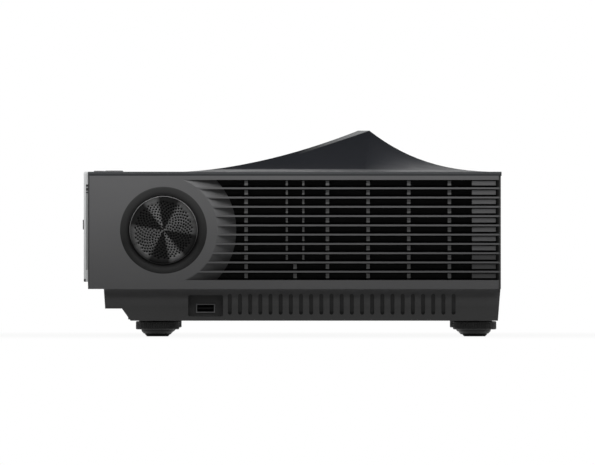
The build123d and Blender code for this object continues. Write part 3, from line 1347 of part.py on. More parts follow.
def fan_rotor():
    y0 = -FAN_OUTER_Y + FAN_ROTOR_SET_BACK
    y1 = -FAN_OUTER_Y + FAN_DEPTH - FAN_STRUT - FAN_HUB_GAP
    middle = (y0 + y1) / 2
    z = fan_middle_z()
    rotor = rod_y(FAN_X, y0, y1, z, FAN_HUB_RADIUS - 0.5)
    rotor += rod_y(FAN_X, y1, y1 + FAN_STRUT + FAN_HUB_GAP, z, FAN_SHAFT_RADIUS)
    tip = FAN_BORE - FAN_TIP_GAP
    blade = block(FAN_X + FAN_HUB_RADIUS - 3, FAN_X + tip, middle - FAN_BLADE_HALF, middle + FAN_BLADE_HALF,
                  z - FAN_BLADE_SHEET / 2, z + FAN_BLADE_SHEET / 2)
    blade = Pos(0, middle, z) * Rot(FAN_BLADE_TURN, 0, 0) * Pos(0, -middle, -z) * blade
    blade &= rod_y(FAN_X, y0 + 0.5, y1 - 0.5, z, tip)
    for n in range(FAN_BLADES):
        rotor += Pos(FAN_X, 0, z) * Rot(0, 360 / FAN_BLADES * n, 0) * Pos(-FAN_X, 0, -z) * blade
    return rotor


# Keypad


def key_top():
    return DECK_TOP + KEY_RAISE


def key_shape(x, y):
    top = key_top()
    low = DECK_TOP - SKIN - KEY_CLEAR
    key = key_slab(x, y, 0.0, low, top)
    key = chamfer(key.edges().group_by(Axis.Z)[-1], KEY_BEVEL)
    key += key_slab(x, y, KEY_LIP, low - KEY_FLANGE, low)
    return key + rod_z(x, y, top - KEY_DEPTH, low, KEY_STEM_RADIUS)


def power_key():
    top = key_top()
    low = DECK_TOP - SKIN - KEY_CLEAR
    key = rod_z(POWER_KEY_X, POWER_KEY_Y, low, top, POWER_KEY_RADIUS)
    key = chamfer(key.edges().group_by(Axis.Z)[-1], KEY_BEVEL)
    key += rod_z(POWER_KEY_X, POWER_KEY_Y, low - KEY_FLANGE, low, POWER_KEY_RADIUS + 2 * KEY_GAP)
    return key + rod_z(POWER_KEY_X, POWER_KEY_Y, top - KEY_DEPTH, low, KEY_STEM_RADIUS)


def key_board():
    top = key_top() - KEY_DEPTH - KEY_TRAVEL - KEY_CLEAR
    low = top - KEY_BOARD_THICKNESS
    x0, x1 = CASE_REAR + SKIN + 1.0, KEY_X[1] + KEY_BOARD_MARGIN[0]
    y0, y1 = KEY_FIRST_Y - KEY_BOARD_MARGIN[1], STATUS_LENS_Y + KEY_BOARD_MARGIN[2]
    board = block(x0, x1, y0, y1, low, top)
    under = DECK_TOP - SKIN
    inset = KEY_BOARD_PILLAR_INSET
    for y in (y0 + inset, y1 - inset):
        board += rod_z(x1 - inset, y, top, under, KEY_STEM_RADIUS)
    return board


def status_lens():
    x = sum(KEY_X) / 2
    half_x = STATUS_LENS_WIDTH / 2
    half_y = STATUS_LENS_LENGTH / 2
    low = DECK_TOP - SKIN
    lens = block(x - half_x, x + half_x, STATUS_LENS_Y - half_y, STATUS_LENS_Y + half_y,
                 low, DECK_TOP + STATUS_LENS_PROUD)
    half_x += STATUS_LENS_FLANGE
    half_y += STATUS_LENS_FLANGE
    return lens + block(x - half_x, x + half_x, STATUS_LENS_Y - half_y, STATUS_LENS_Y + half_y,
                        low - STATUS_LENS_FLANGE, low)


# Feet and inserts


def foot_collar(x, y):
    top = TRAY_BOTTOM - COLLAR_GAP
    collar = rod_z(x, y, COLLAR_BOTTOM, top, COLLAR_RADIUS)
    collar = fillet(collar.edges(), COLLAR_ROUND)
    grooves = Sketch()
    for n in range(COLLAR_RIBS):
        angle = math.radians(360 / COLLAR_RIBS * n)
        reach = COLLAR_RADIUS + 0.1
        grooves += Pos(reach * math.cos(angle), reach * math.sin(angle)) * Circle(COLLAR_RIB_DEPTH)
    collar -= Pos(x, y, COLLAR_BOTTOM + 1.0) * extrude(grooves, top - COLLAR_BOTTOM - 2.0)
    low, seam = FOOT_CONE_BOTTOM, COLLAR_BOTTOM + 0.1
    cone = turned([(0, low), (FOOT_CONE_LOW_RADIUS, low), FOOT_CONE_MID, (FOOT_CONE_RADIUS, seam), (0, seam)])
    collar += Pos(x, y, 0) * cone
    collar += rod_z(x, y, top - 1, FOOT_SCREW_TOP, FOOT_SCREW_RADIUS)
    return collar - rod_z(x, y, 0, PAD_STEM_TOP + RUNNING_GAP, PAD_STEM_RADIUS + RUNNING_GAP)


def foot_pad(x, y):
    pad = Pos(x, y, PAD_TOP / 2) * Cone(PAD_LOW_RADIUS, PAD_RADIUS, PAD_TOP)
    return pad + rod_z(x, y, PAD_TOP - 0.1, PAD_STEM_TOP, PAD_STEM_RADIUS)


def foot_bushes():
    bushes = []
    for x, y in foot_places():
        low = TRAY_BOTTOM + 0.2
        bush = rod_z(x, y, low, TRAY_BOTTOM + TRAY_WALL + FOOT_BUSH_LENGTH, FOOT_BUSH_RADIUS - RUNNING_GAP)
        bushes.append(bush - rod_z(x, y, 0, THROUGH, FOOT_SCREW_RADIUS + RUNNING_GAP))
    return bushes


def mount_inserts():
    inserts = []
    for x, y in mount_places():
        sleeve = rod_z(x, y, TRAY_BOTTOM, TRAY_BOTTOM + MOUNT_INSERT_LENGTH, MOUNT_INSERT_RADIUS)
        inserts.append(sleeve - rod_z(x, y, 0, THROUGH, MOUNT_HOLE_RADIUS))
    return inserts


# Write every piece

if __name__ == "__main__":
    save("base_tray", base_tray())
    save("chassis_frame", chassis_frame())
    save("case_screws", *case_screws())
    save("top_cover", top_cover())
    save("window_bezel", window_bezel())
    save("window_glass", window_glass())
    save("front_panel", front_panel())
    save("rear_panel", rear_panel())
    save("rear_trim", rear_trim())
    save("receiver_windows", front_ir_window(), rear_ir_window())
    save("side_usb_socket", side_usb_socket())
    save("media_sockets", *media_sockets())
    save("network_socket", network_socket())
    save("audio_jacks", *audio_jacks())
    save("power_inlet", power_inlet())
    save("main_board", main_board())
    save("power_board", power_board())
    save("engine_housing", engine_housing())
    save("lens_barrel", lens_barrel())
    save("lens_elements", lens_elements())
    save("focus_carriage", focus_carriage())
    save("focus_screw", focus_screw())
    save("focus_motor", focus_motor())
    save("concave_mirror", concave_mirror())
    save("mirror_bracket", mirror_bracket())
    save("dmd_board", dmd_board())
    save("dmd_heat_sink", dmd_heat_sink())
    save("laser_module", laser_module())
    save("laser_heat_sink", laser_heat_sink())
    save("wheel_motor", wheel_motor())
    save("phosphor_wheel", phosphor_wheel())
    frame = fan_frame()
    save("fan_frames", frame, flip(frame))
    save("power_key", power_key())
    save("key_board", key_board())
    save("status_lens", status_lens())
    save("foot_bushes", *foot_bushes())
    save("mount_inserts", *mount_inserts())
    for name, (x, y) in zip(KEY_NAMES, key_places()):
        save(name, key_shape(x, y))
    twins = (
        ("side_panel", side_panel),
        ("speaker_grille", speaker_grille),
        ("speaker_frame", speaker_frame),
        ("speaker_cone", speaker_cone),
    )
    for name, shape in twins:
        left = LEFT_SIDE * shape()
        save(f"left_{name}", left)
        save(f"right_{name}", flip(left))
    left = LEFT_SIDE * dust_filter()
    save("dust_filters", left, flip(left))
    rotor = fan_rotor()
    save("left_fan_rotor", rotor)
    save("right_fan_rotor", flip(rotor))
    corners = ("rear_left", "rear_right", "front_left", "front_right")
    for corner, (x, y) in zip(corners, foot_places()):
        save(f"foot_collar_{corner}", foot_collar(x, y))
        save(f"foot_pad_{corner}", foot_pad(x, y))
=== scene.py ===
import json
import math

import bmesh
import bpy
import mathutils
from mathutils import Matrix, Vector


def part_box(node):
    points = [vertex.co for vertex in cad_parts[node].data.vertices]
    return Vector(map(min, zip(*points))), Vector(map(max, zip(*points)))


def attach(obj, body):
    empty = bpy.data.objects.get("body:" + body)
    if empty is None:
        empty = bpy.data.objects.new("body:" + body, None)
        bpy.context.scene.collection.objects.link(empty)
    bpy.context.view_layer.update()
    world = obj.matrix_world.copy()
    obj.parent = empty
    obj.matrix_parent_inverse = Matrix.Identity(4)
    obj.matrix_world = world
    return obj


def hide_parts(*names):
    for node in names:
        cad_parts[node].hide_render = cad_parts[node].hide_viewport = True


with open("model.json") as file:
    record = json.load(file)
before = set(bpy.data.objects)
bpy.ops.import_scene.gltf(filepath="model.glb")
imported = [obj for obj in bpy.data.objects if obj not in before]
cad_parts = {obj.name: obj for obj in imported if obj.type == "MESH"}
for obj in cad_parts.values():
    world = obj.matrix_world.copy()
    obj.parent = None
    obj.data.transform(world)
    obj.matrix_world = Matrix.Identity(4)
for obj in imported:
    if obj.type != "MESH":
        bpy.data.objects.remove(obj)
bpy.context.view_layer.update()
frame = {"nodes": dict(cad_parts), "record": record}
NODES = frame["nodes"]

# Places and sizes read from the frame, in metres
CASE_FACE = abs(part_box("left_side_panel")[0][1])
CASE_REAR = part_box("left_side_panel")[0][0]
TRAY_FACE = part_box("base_tray")[1][1]
REAR_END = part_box("rear_panel")[1][1]
GRILLE_LOW, GRILLE_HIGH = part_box("left_speaker_grille")
SPEAKER = (GRILLE_LOW + GRILLE_HIGH) / 2
GRILLE_RADIUS = (GRILLE_HIGH[0] - GRILLE_LOW[0]) / 2

# Sizes of the part that no box gives, in metres
DISH_RADIUS = 0.0326
SCOOP_START = 0.0405
SCOOP_RADIUS = 0.0545
FIN_PITCH = 0.006955
FIN_HALF = 0.000675
FIN_FIRST = 0.041625
DECK_EDGE = 0.1237
POCKET_FRONT = -0.0517
CREST_SLOPE = 0.335
CREST_START = 0.1351

# Camera: a long lens square on the left side, at the height of the picture's middle
PIXEL = 0.00075
PICTURE = (595, 465)
FLOOR_ROW = 336.5
ORIGIN_COLUMN = 292.0
LENS = 1300.0
SENSOR = 36.0
CLIP_NEAR = 0.1
CLIP_FAR_FACTOR = 3


def add_camera():
    data = bpy.data.cameras.new("camera")
    camera = bpy.data.objects.new("camera", data)
    bpy.context.scene.collection.objects.link(camera)
    data.lens = LENS
    data.sensor_width = SENSOR
    near_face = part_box("left_side_panel")[0][1]
    distance = PICTURE[0] * PIXEL * LENS / SENSOR
    x = (PICTURE[0] / 2 - ORIGIN_COLUMN) * PIXEL
    z = (FLOOR_ROW - PICTURE[1] / 2) * PIXEL
    camera.location = (x, near_face - distance, z)
    camera.rotation_euler = (math.pi / 2, 0, 0)
    data.clip_start = CLIP_NEAR
    data.clip_end = distance * CLIP_FAR_FACTOR
    bpy.context.scene.camera = camera


# Sockets of the Mix node when it mixes colours
MIX_SHARE = 0
MIX_FIRST = 6
MIX_SECOND = 7
MIX_RESULT = 2


class Shader:
    """A material's node tree, with a short call for each kind of node used here."""

    def __init__(self, name):
        self.material = bpy.data.materials.new(name)
        self.material.use_nodes = True
        self.tree = self.material.node_tree
        self.bsdf = self.tree.nodes["Principled BSDF"]
        self.place = self.tree.nodes.new("ShaderNodeTexCoord").outputs["Object"]

    def put(self, socket, value):
        """Links a socket to another, or writes a plain value to it."""
        if isinstance(value, bpy.types.NodeSocket):
            self.tree.links.new(value, socket)
        else:
            socket.default_value = value

    def node(self, kind, **inputs):
        made = self.tree.nodes.new(kind)
        for key, value in inputs.items():
            self.put(made.inputs[key.replace("_", " ")], value)
        return made

    def set(self, **inputs):
        for key, value in inputs.items():
            self.put(self.bsdf.inputs[key.replace("_", " ")], value)
        return self

    def specular(self, level):
        self.put(self.bsdf.inputs["Specular IOR Level"], level)
        return self

    def bump(self, height, distance, strength):
        made = self.node("ShaderNodeBump", Height=height, Distance=distance, Strength=strength)
        self.put(self.bsdf.inputs["Normal"], made.outputs["Normal"])
        return self

    def axis(self, letter):
        return self.node("ShaderNodeSeparateXYZ", Vector=self.place).outputs[letter]

    def stretch(self, scale):
        made = self.node("ShaderNodeMapping", Vector=self.place)
        made.inputs["Scale"].default_value = scale
        return made.outputs["Vector"]

    def noise(self, scale, detail, place=None):
        made = self.node("ShaderNodeTexNoise", Vector=place or self.place, Scale=scale, Detail=detail)
        return made.outputs["Fac"]

    def math(self, kind, first, second=0.0):
        made = self.tree.nodes.new("ShaderNodeMath")
        made.operation = kind
        self.put(made.inputs[0], first)
        self.put(made.inputs[1], second)
        return made.outputs["Value"]

    def product(self, first, *others):
        total = first
        for other in others:
            total = self.math("MULTIPLY", total, other)
        return total

    def distance(self, across, up):
        squares = self.math("ADD", self.product(across, across), self.product(up, up))
        return self.math("SQRT", squares)

    def ramp(self, value, low, high, out_low=0.0, out_high=1.0, kind="LINEAR"):
        """Goes from out_low to out_high while the value goes from low to high."""
        made = self.node("ShaderNodeMapRange", Value=value, From_Min=low, From_Max=high,
                         To_Min=out_low, To_Max=out_high)
        made.interpolation_type = kind
        return made.outputs["Result"]

    def fall(self, value, low, high, start=1.0):
        """Goes from start to 0 while the value goes from low to high."""
        return self.ramp(value, low, high, start, 0.0)

    def mix(self, share, first, second):
        made = self.tree.nodes.new("ShaderNodeMix")
        made.data_type = "RGBA"
        self.put(made.inputs[MIX_SHARE], share)
        self.put(made.inputs[MIX_FIRST], first)
        self.put(made.inputs[MIX_SECOND], second)
        return made.outputs[MIX_RESULT]


def grey(level):
    return (level, level, level, 1.0)


def tone(color, factor):
    return tuple(min(1.0, c * factor) for c in color[:3]) + (1.0,)


def mesh_object(name, mesh, smooth=False):
    data = bpy.data.meshes.new(name)
    mesh.to_mesh(data)
    mesh.free()
    made = bpy.data.objects.new(name, data)
    bpy.context.scene.collection.objects.link(made)
    if smooth:
        data.shade_smooth()
    return made


def place_piece(piece, material, body):
    piece.data.materials.append(material)
    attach(piece, body)


# Floor: a round pale sheet whose white glow grows from near the object to far away
FLOOR_RADIUS = 1.6
FLOOR_SIDES = 96
FLOOR_PALE = 0.21
FLOOR_ROUGH = 0.9
FLOOR_SPECULAR = 0.1
GLOW_REACH = (0.24, 0.60)
GLOW_SHARES = (0.93, 1.0)


def camera_sees(shader, lit, share, glow):
    """Mixes a glow over a lit surface, only for what the camera, gloss and glass see."""
    path = shader.tree.nodes.new("ShaderNodeLightPath").outputs
    seen = shader.math("MAXIMUM", path["Is Camera Ray"],
                       shader.math("MAXIMUM", path["Is Glossy Ray"], path["Is Transmission Ray"]))
    blend = shader.tree.nodes.new("ShaderNodeMixShader")
    shader.put(blend.inputs[0], shader.product(share, seen))
    shader.put(blend.inputs[1], lit)
    shader.put(blend.inputs[2], glow)
    shader.put(shader.tree.nodes["Material Output"].inputs["Surface"], blend.outputs["Shader"])


def add_floor():
    mesh = bmesh.new()
    bmesh.ops.create_circle(mesh, cap_ends=True, segments=FLOOR_SIDES, radius=FLOOR_RADIUS)
    floor = mesh_object("floor", mesh)
    s = Shader("floor_paper")
    s.set(Base_Color=grey(FLOOR_PALE), Roughness=FLOOR_ROUGH)
    s.specular(FLOOR_SPECULAR)
    reach = s.node("ShaderNodeVectorMath", Vector=s.place)
    reach.operation = "LENGTH"
    share = s.ramp(reach.outputs["Value"], *GLOW_REACH, *GLOW_SHARES)
    glow = s.node("ShaderNodeEmission", Color=grey(1.0), Strength=1.0)
    camera_sees(s, s.bsdf.outputs["BSDF"], share, glow.outputs["Emission"])
    floor.data.materials.append(s.material)


# Light: strength of the grey room, and lamps with place, aim, size and power in watts
WORLD_LEVEL = 0.077
LAMPS = (
    ("overhead_softbox", (0.05, 0.0, 1.1), (0, 0, 0), (1.7, 1.5), 1.85),
    ("left_strip", (-0.05, -0.295, 0.26), (-0.05, -0.19, 0.06), (1.0, 0.16), 1.35),
    ("right_strip", (-0.05, 0.295, 0.26), (-0.05, 0.19, 0.06), (1.0, 0.16), 1.15),
    ("front_strip", (0.28, 0.0, 0.28), (0.15, 0, 0.06), (0.16, 1.0), 1.45),
    ("rear_strip", (-0.28, 0.0, 0.28), (-0.15, 0, 0.06), (0.16, 1.0), 1.0),
)


def add_world():
    """Soft grey room light, white only where the camera, gloss or clear glass looks at it."""
    world = bpy.data.worlds.new("studio")
    bpy.context.scene.world = world
    world.use_nodes = True
    tree = world.node_tree
    background = tree.nodes["Background"]
    background.inputs["Color"].default_value = grey(1.0)
    path = tree.nodes.new("ShaderNodeLightPath").outputs
    seen = path["Is Camera Ray"]
    for kind in ("Is Glossy Ray", "Is Transmission Ray"):
        either = tree.nodes.new("ShaderNodeMath")
        either.operation = "MAXIMUM"
        tree.links.new(seen, either.inputs[0])
        tree.links.new(path[kind], either.inputs[1])
        seen = either.outputs["Value"]
    strength = tree.nodes.new("ShaderNodeMapRange")
    strength.inputs["To Min"].default_value = WORLD_LEVEL
    strength.inputs["To Max"].default_value = 1.0
    tree.links.new(seen, strength.inputs["Value"])
    tree.links.new(strength.outputs["Result"], background.inputs["Strength"])


def add_lamp(name, place, aim, size, power):
    data = bpy.data.lights.new(name, "AREA")
    data.shape = "RECTANGLE"
    data.size, data.size_y = size
    data.energy = power
    lamp = bpy.data.objects.new(name, data)
    bpy.context.scene.collection.objects.link(lamp)
    lamp.location = place
    lamp.rotation_euler = (Vector(aim) - Vector(place)).to_track_quat("-Z", "Y").to_euler()
    lamp.visible_camera = False


def add_lights():
    """A large soft light overhead and a soft strip close above each side."""
    for lamp in LAMPS:
        add_lamp(*lamp)


# Surfaces: each noise is a scale and a detail, and most of a noise lies in NOISE_SPAN
NOISE_SPAN = (0.3, 0.7)
CLOUD_NOISE = (9.0, 3.0)
GLOSS_NOISE = (40.0, 4.0)
GLOSS_SPREAD = 0.04
GRAIN_DETAIL = 2.0
GRAIN_STRENGTH = 0.6
LINE_NOISE = (1.0, 3.0)
LINE_TONES = (0.85, 1.15)
LINE_GLOSS_SPREAD = 0.06
SMUDGE_NOISE = (30.0, 4.0)
SMUDGE_TINT_SPAN = (0.35, 0.75)
SMUDGE_TINT = 1.6
SMUDGE_GLOSS_SPAN = (0.4, 0.8)
SMUDGE_ROUGH = (0.05, 0.12)
GLASS_SPECULAR = 0.4

# Filter cloth: radians of weave per metre, where its threads begin and end, and its dark share
WEAVE_TURN = 9000.0
WEAVE_SPAN = (-0.2, 0.4)
WEAVE_DARK = 0.5
CLOTH_ROUGH = 0.9
CLOTH_SPECULAR = 0.1


def moulded(name, color, rough, grain=2600.0, depth=0.00003, sweep=0.06, shade=None):
    """Moulded plastic: fine spark grain, faint flow tone and slightly uneven gloss."""
    s = Shader(name)
    tint = s.mix(s.ramp(s.noise(*CLOUD_NOISE), *NOISE_SPAN), tone(color, 1 - sweep), tone(color, 1 + sweep))
    if shade:
        tint = shade(s, tint)
    s.set(Base_Color=tint)
    gloss = s.ramp(s.noise(*GLOSS_NOISE), *NOISE_SPAN, rough - GLOSS_SPREAD, rough + GLOSS_SPREAD)
    s.set(Roughness=gloss)
    return s.bump(s.noise(grain, GRAIN_DETAIL), depth, GRAIN_STRENGTH)


def plain(name, color, rough, metal=0.0, spec=0.5, grain=900.0, depth=0.00002, sweep=0.05, shade=None):
    """A finish with a little uneven tone, gloss and grain."""
    s = moulded(name, color, rough, grain, depth, sweep, shade)
    return s.set(Metallic=metal).specular(spec)


def brushed(name, color, rough, stretch):
    """Metal with fine lines along one direction."""
    s = Shader(name)
    lines = s.noise(*LINE_NOISE, s.stretch(stretch))
    s.set(Base_Color=s.mix(lines, *[tone(color, factor) for factor in LINE_TONES]), Metallic=1.0)
    s.set(Roughness=s.ramp(lines, *NOISE_SPAN, rough - LINE_GLOSS_SPREAD, rough + LINE_GLOSS_SPREAD))
    return s.bump(lines, distance=0.00002, strength=0.4)


def glass(name, color):
    """Dark coated sheet glass: a deep tint under a gloss that is smudged here and there."""
    s = Shader(name)
    smudge = s.noise(*SMUDGE_NOISE)
    s.set(Base_Color=s.mix(s.ramp(smudge, *SMUDGE_TINT_SPAN), color, tone(color, SMUDGE_TINT)))
    s.set(Roughness=s.ramp(smudge, *SMUDGE_GLOSS_SPAN, *SMUDGE_ROUGH))
    return s.specular(GLASS_SPECULAR)


def woven(name, level):
    """Dark filter cloth: a fine square weave."""
    s = Shader(name)
    weave = s.product(s.math("SINE", s.product(s.axis("X"), WEAVE_TURN)),
                      s.math("SINE", s.product(s.axis("Z"), WEAVE_TURN)))
    s.set(Base_Color=s.mix(s.ramp(weave, *WEAVE_SPAN), grey(level * WEAVE_DARK), grey(level)))
    s.set(Roughness=CLOTH_ROUGH).specular(CLOTH_SPECULAR)
    return s.bump(weave, distance=0.0001, strength=0.5)


# Spans in metres over which the case's painted shade and painted highlight begin or end, by place, height
# or radius
SHELL_DEPTH = (CASE_FACE - 0.012, CASE_FACE - 0.011)
SCOOP_DEPTH = (CASE_FACE - 0.0003, CASE_FACE - 0.0002)
POST_FRONT = (CASE_FACE - 0.0031, CASE_FACE - 0.0030)
POST_BACK = (CASE_FACE - 0.0034, CASE_FACE - 0.0033)
LATTICE_DEPTH = (CASE_FACE - 0.0062, CASE_FACE - 0.0044)
DISH_EDGE = (DISH_RADIUS - 0.0001, DISH_RADIUS + 0.0001)
DISH_HEIGHT = (SPEAKER[2] - 0.010, SPEAKER[2] + 0.024)
SCOOP_EDGE = (SCOOP_START, SCOOP_START + 0.0002)
SCOOP_END = (SCOOP_RADIUS, SCOOP_RADIUS + 0.0002)
SCOOP_HEIGHT = (0.0590, 0.0640)
LOWER_SIDE = (0.036, 0.095)
FIN_EDGE = (FIN_HALF - 0.0001, FIN_HALF + 0.0001)
FIN_GAP = (FIN_HALF + 0.0003, FIN_HALF + 0.0005)
LOUVRE_FOOT = (0.0422, 0.0424)
LOUVRE_HEAD = (0.1174, 0.1176)
CORNER_START = (0.15335, 0.15345)
REAR_EDGE = (CASE_REAR + 0.0008, CASE_REAR + 0.0012)
REAR_EDGE_DEPTH = (0.188, 0.189)

# Tones and shares of the case: apart from CASE_TONE, the specular levels and the dish's matt share, they
# are painted shade, and the posts' grey is a painted highlight
CASE_TONE = (0.109, 0.109, 0.111)
LOWER_SIDE_SHADE_TONE = (0.058, 0.058, 0.059, 1)
LOWER_SIDE_SHADE_SHARE = 0.55
DISH_GRILLE_SHADE_GREY = 0.0039
DISH_LOW_SHADE_GREY = 0.0156
DISH_HIGH_SHADE_GREY = 0.03
DISH_MATT_SHARE = 0.8
SCOOP_SHADE_SHARE = 0.75
LATTICE_SHADE_GREY = 0.023
POST_HIGHLIGHT_GREY = 0.221
CORNER_SHADE_GREY = 0.013
REAR_EDGE_SHADE_GREY = 0.021
CASE_SPECULAR = 0.3
MATT_SPECULAR = 0.02


def from_speaker(s):
    """Distance from the speakers' common axis."""
    across = s.math("SUBTRACT", s.axis("X"), SPEAKER[0])
    up = s.math("SUBTRACT", s.axis("Z"), SPEAKER[2])
    return s.distance(across, up)


def from_fin(s):
    """Height above or below the middle of the nearest louvre fin."""
    up = s.math("SUBTRACT", s.axis("Z"), FIN_FIRST)
    return s.math("PINGPONG", up, FIN_PITCH / 2)


def louvre_span(s):
    """1 between the foot and the head of the louvres, 0 outside."""
    up = s.axis("Z")
    return s.product(s.ramp(up, *LOUVRE_FOOT), s.fall(up, *LOUVRE_HEAD))


def shade_case(s, tint):
    """Painted shade: darker lower side, dark dish and scoop foot, black lattice and dark end edges; the
    pale posts are a painted highlight.
    """
    depth = s.math("ABSOLUTE", s.axis("Y"))
    up = s.axis("Z")
    radius = from_speaker(s)
    shell = s.ramp(depth, *SHELL_DEPTH)
    dish = s.fall(radius, *DISH_EDGE)
    # Painted shade: the dish is dark, darkest beside the grille and over its lower half.
    low_dish_shade = s.mix(s.ramp(radius, GRILLE_RADIUS, DISH_RADIUS), grey(DISH_GRILLE_SHADE_GREY), grey(DISH_LOW_SHADE_GREY))
    dish_shade = s.mix(s.ramp(up, *DISH_HEIGHT), low_dish_shade, grey(DISH_HIGH_SHADE_GREY))
    tint = s.mix(s.product(dish, shell), tint, dish_shade)
    # Painted shade: the side darkens towards the bottom.
    lower_side_shade = s.product(s.fall(up, *LOWER_SIDE, LOWER_SIDE_SHADE_SHARE), s.fall(dish, 0.0, 1.0))
    tint = s.mix(lower_side_shade, tint, LOWER_SIDE_SHADE_TONE)
    # Painted shade: the lower rows of the scoop are darkened.
    scoop = s.product(s.fall(depth, *SCOOP_DEPTH), shell, s.ramp(radius, *SCOOP_EDGE),
                      s.fall(up, *SCOOP_HEIGHT, SCOOP_SHADE_SHARE))
    tint = s.mix(scoop, tint, grey(LATTICE_SHADE_GREY))
    past_scoop = s.ramp(radius, *SCOOP_END)
    # Painted highlight: the front faces of the posts behind the fins are pale.
    posts = s.product(s.ramp(depth, *POST_BACK), s.fall(depth, *POST_FRONT), past_scoop,
                      s.ramp(from_fin(s), *FIN_GAP))
    tint = s.mix(posts, tint, grey(POST_HIGHLIGHT_GREY))
    # Painted shade: everything deep behind the louvres is black.
    lattice = s.product(s.fall(depth, *LATTICE_DEPTH), past_scoop, shell)
    tint = s.mix(lattice, tint, grey(LATTICE_SHADE_GREY))
    # Painted shade: dark between the fins at the front end of the louvres.
    corner = s.product(s.ramp(s.axis("X"), *CORNER_START), louvre_span(s), s.ramp(from_fin(s), *FIN_EDGE))
    tint = s.mix(corner, tint, grey(CORNER_SHADE_GREY))
    # Painted shade: a dark line along the rear edge of each side.
    rear = s.product(s.fall(s.axis("X"), *REAR_EDGE), s.ramp(depth, *REAR_EDGE_DEPTH))
    tint = s.mix(rear, tint, grey(REAR_EDGE_SHADE_GREY))
    low_dish = s.product(dish, s.fall(up, *DISH_HEIGHT, DISH_MATT_SHARE))
    matt = s.math("MAXIMUM", s.math("MAXIMUM", lattice, corner), low_dish)
    s.specular(s.ramp(matt, 0.0, 1.0, CASE_SPECULAR, MATT_SPECULAR))
    return tint


# Front panel
FRONT_EDGE_DEPTH = (0.1885, 0.1887)
FRONT_WALL_SHADE_GREY = 0.039
FRONT_FIN_HIGHLIGHT_GREY = 0.091
FRONT_SLOT_SHADE_GREY = 0.0156


def shade_front(s, tint):
    """The front panel's end edges carry on the slots and fins of the sides, as painted shade in the slots
    and on the wall and a painted highlight on the fins.
    """
    # Painted highlight on the fins, painted shade in the slots and on the wall between them.
    fins = s.ramp(from_fin(s), *FIN_EDGE, FRONT_FIN_HIGHLIGHT_GREY, FRONT_SLOT_SHADE_GREY)
    wall = s.mix(louvre_span(s), grey(FRONT_WALL_SHADE_GREY), fins)
    edge = s.ramp(s.math("ABSOLUTE", s.axis("Y")), *FRONT_EDGE_DEPTH)
    return s.mix(edge, tint, wall)


# Rear plate and its trim
PLATE_EDGE_DEPTH = (REAR_END - 0.0003, REAR_END - 0.0001)
PLATE_FOOT = (0.0498, 0.0502)
PLATE_HEAD = (0.1139, 0.1141)
LATCH_FOOT = (0.1074, 0.1076)
LATCH_PINS = (0.1119, 0.1089)
PIN_EDGE = (0.0004, 0.0006)
# Painted light: the plate's end edges are lighter than the plate, against the side panels' shade.
PLATE_EDGE_LIT_TONE = (0.39, 0.403, 0.397, 1)
PLATE_PALE_TONE = (0.78, 0.793, 0.793, 1)
LATCH_GREY = 0.026
TRIM_FOOT = (0.0430, 0.0432)
TRIM_FOOT_GREY = 0.039


def shade_rear_plate(s, tint):
    """The plate's two end edges carry painted light, lighter than the plate against the side panels' shade:
    pale at their foot and head, with a dark latch and its two pins.
    """
    up = s.axis("Z")
    pale = s.math("MAXIMUM", s.ramp(up, *PLATE_HEAD), s.fall(up, *PLATE_FOOT))
    from_pins = [s.math("ABSOLUTE", s.math("SUBTRACT", up, height)) for height in LATCH_PINS]
    latch = s.product(s.ramp(up, *LATCH_FOOT), s.fall(up, *PLATE_HEAD),
                      s.ramp(s.math("MINIMUM", *from_pins), *PIN_EDGE))
    ends = s.mix(latch, s.mix(pale, PLATE_EDGE_LIT_TONE, PLATE_PALE_TONE), grey(LATCH_GREY))
    edge = s.ramp(s.math("ABSOLUTE", s.axis("Y")), *PLATE_EDGE_DEPTH)
    return s.mix(edge, tint, ends)


def shade_rear_trim(s, tint):
    """The trim stands on a short dark foot."""
    return s.mix(s.fall(s.axis("Z"), *TRIM_FOOT), tint, grey(TRIM_FOOT_GREY))


# Top cover
DECK_END = (DECK_EDGE, DECK_EDGE + 0.006)
LIP_END = (DECK_EDGE - 0.0004, DECK_EDGE - 0.0002)
HOOD_FOOT = (DECK_EDGE + 0.0006, DECK_EDGE + 0.0022)
HOOD_FOOT_SPECULAR = 0.030
FRONT_SLOPE = (0.055, 0.120)
FRONT_SLOPE_SPECULAR = 0.018
BEVEL_EDGE = (0.0, 0.0004)
BEVEL_START = (0.004, 0.026)
BEVEL_HIGHLIGHT_RUN = (0.020, 0.055)
HOOD_TONE = (0.0137, 0.0146, 0.0169)
DECK_TONE = (0.0169, 0.0175, 0.0192, 1)
LIP_TONE = (0.049, 0.051, 0.053, 1)
BEVEL_TONE = (0.072, 0.073, 0.074, 1)
BEVEL_HIGHLIGHT_TONE = (0.169, 0.172, 0.174, 1)


def shade_cover(s, tint):
    """Black top with a paler lip, a pale bevel by the peak that pales further towards the front as a
    painted highlight, and a sheen that grows towards the front.
    """
    across, up = s.axis("X"), s.axis("Z")
    tint = s.mix(s.fall(up, *DECK_END), tint, DECK_TONE)
    tint = s.mix(s.fall(up, *LIP_END), tint, LIP_TONE)
    sheen = s.ramp(across, *FRONT_SLOPE, 0.0, FRONT_SLOPE_SPECULAR)
    s.specular(s.math("MAXIMUM", sheen, s.fall(up, *HOOD_FOOT, HOOD_FOOT_SPECULAR)))
    crest = s.math("ADD", s.product(across, CREST_SLOPE), CREST_START)
    bevel = s.product(s.ramp(s.math("SUBTRACT", up, crest), *BEVEL_EDGE), s.ramp(across, *BEVEL_START))
    # Painted highlight: the bevel's tone pales towards the front.
    return s.mix(bevel, tint, s.mix(s.ramp(across, *BEVEL_HIGHLIGHT_RUN), BEVEL_TONE, BEVEL_HIGHLIGHT_TONE))


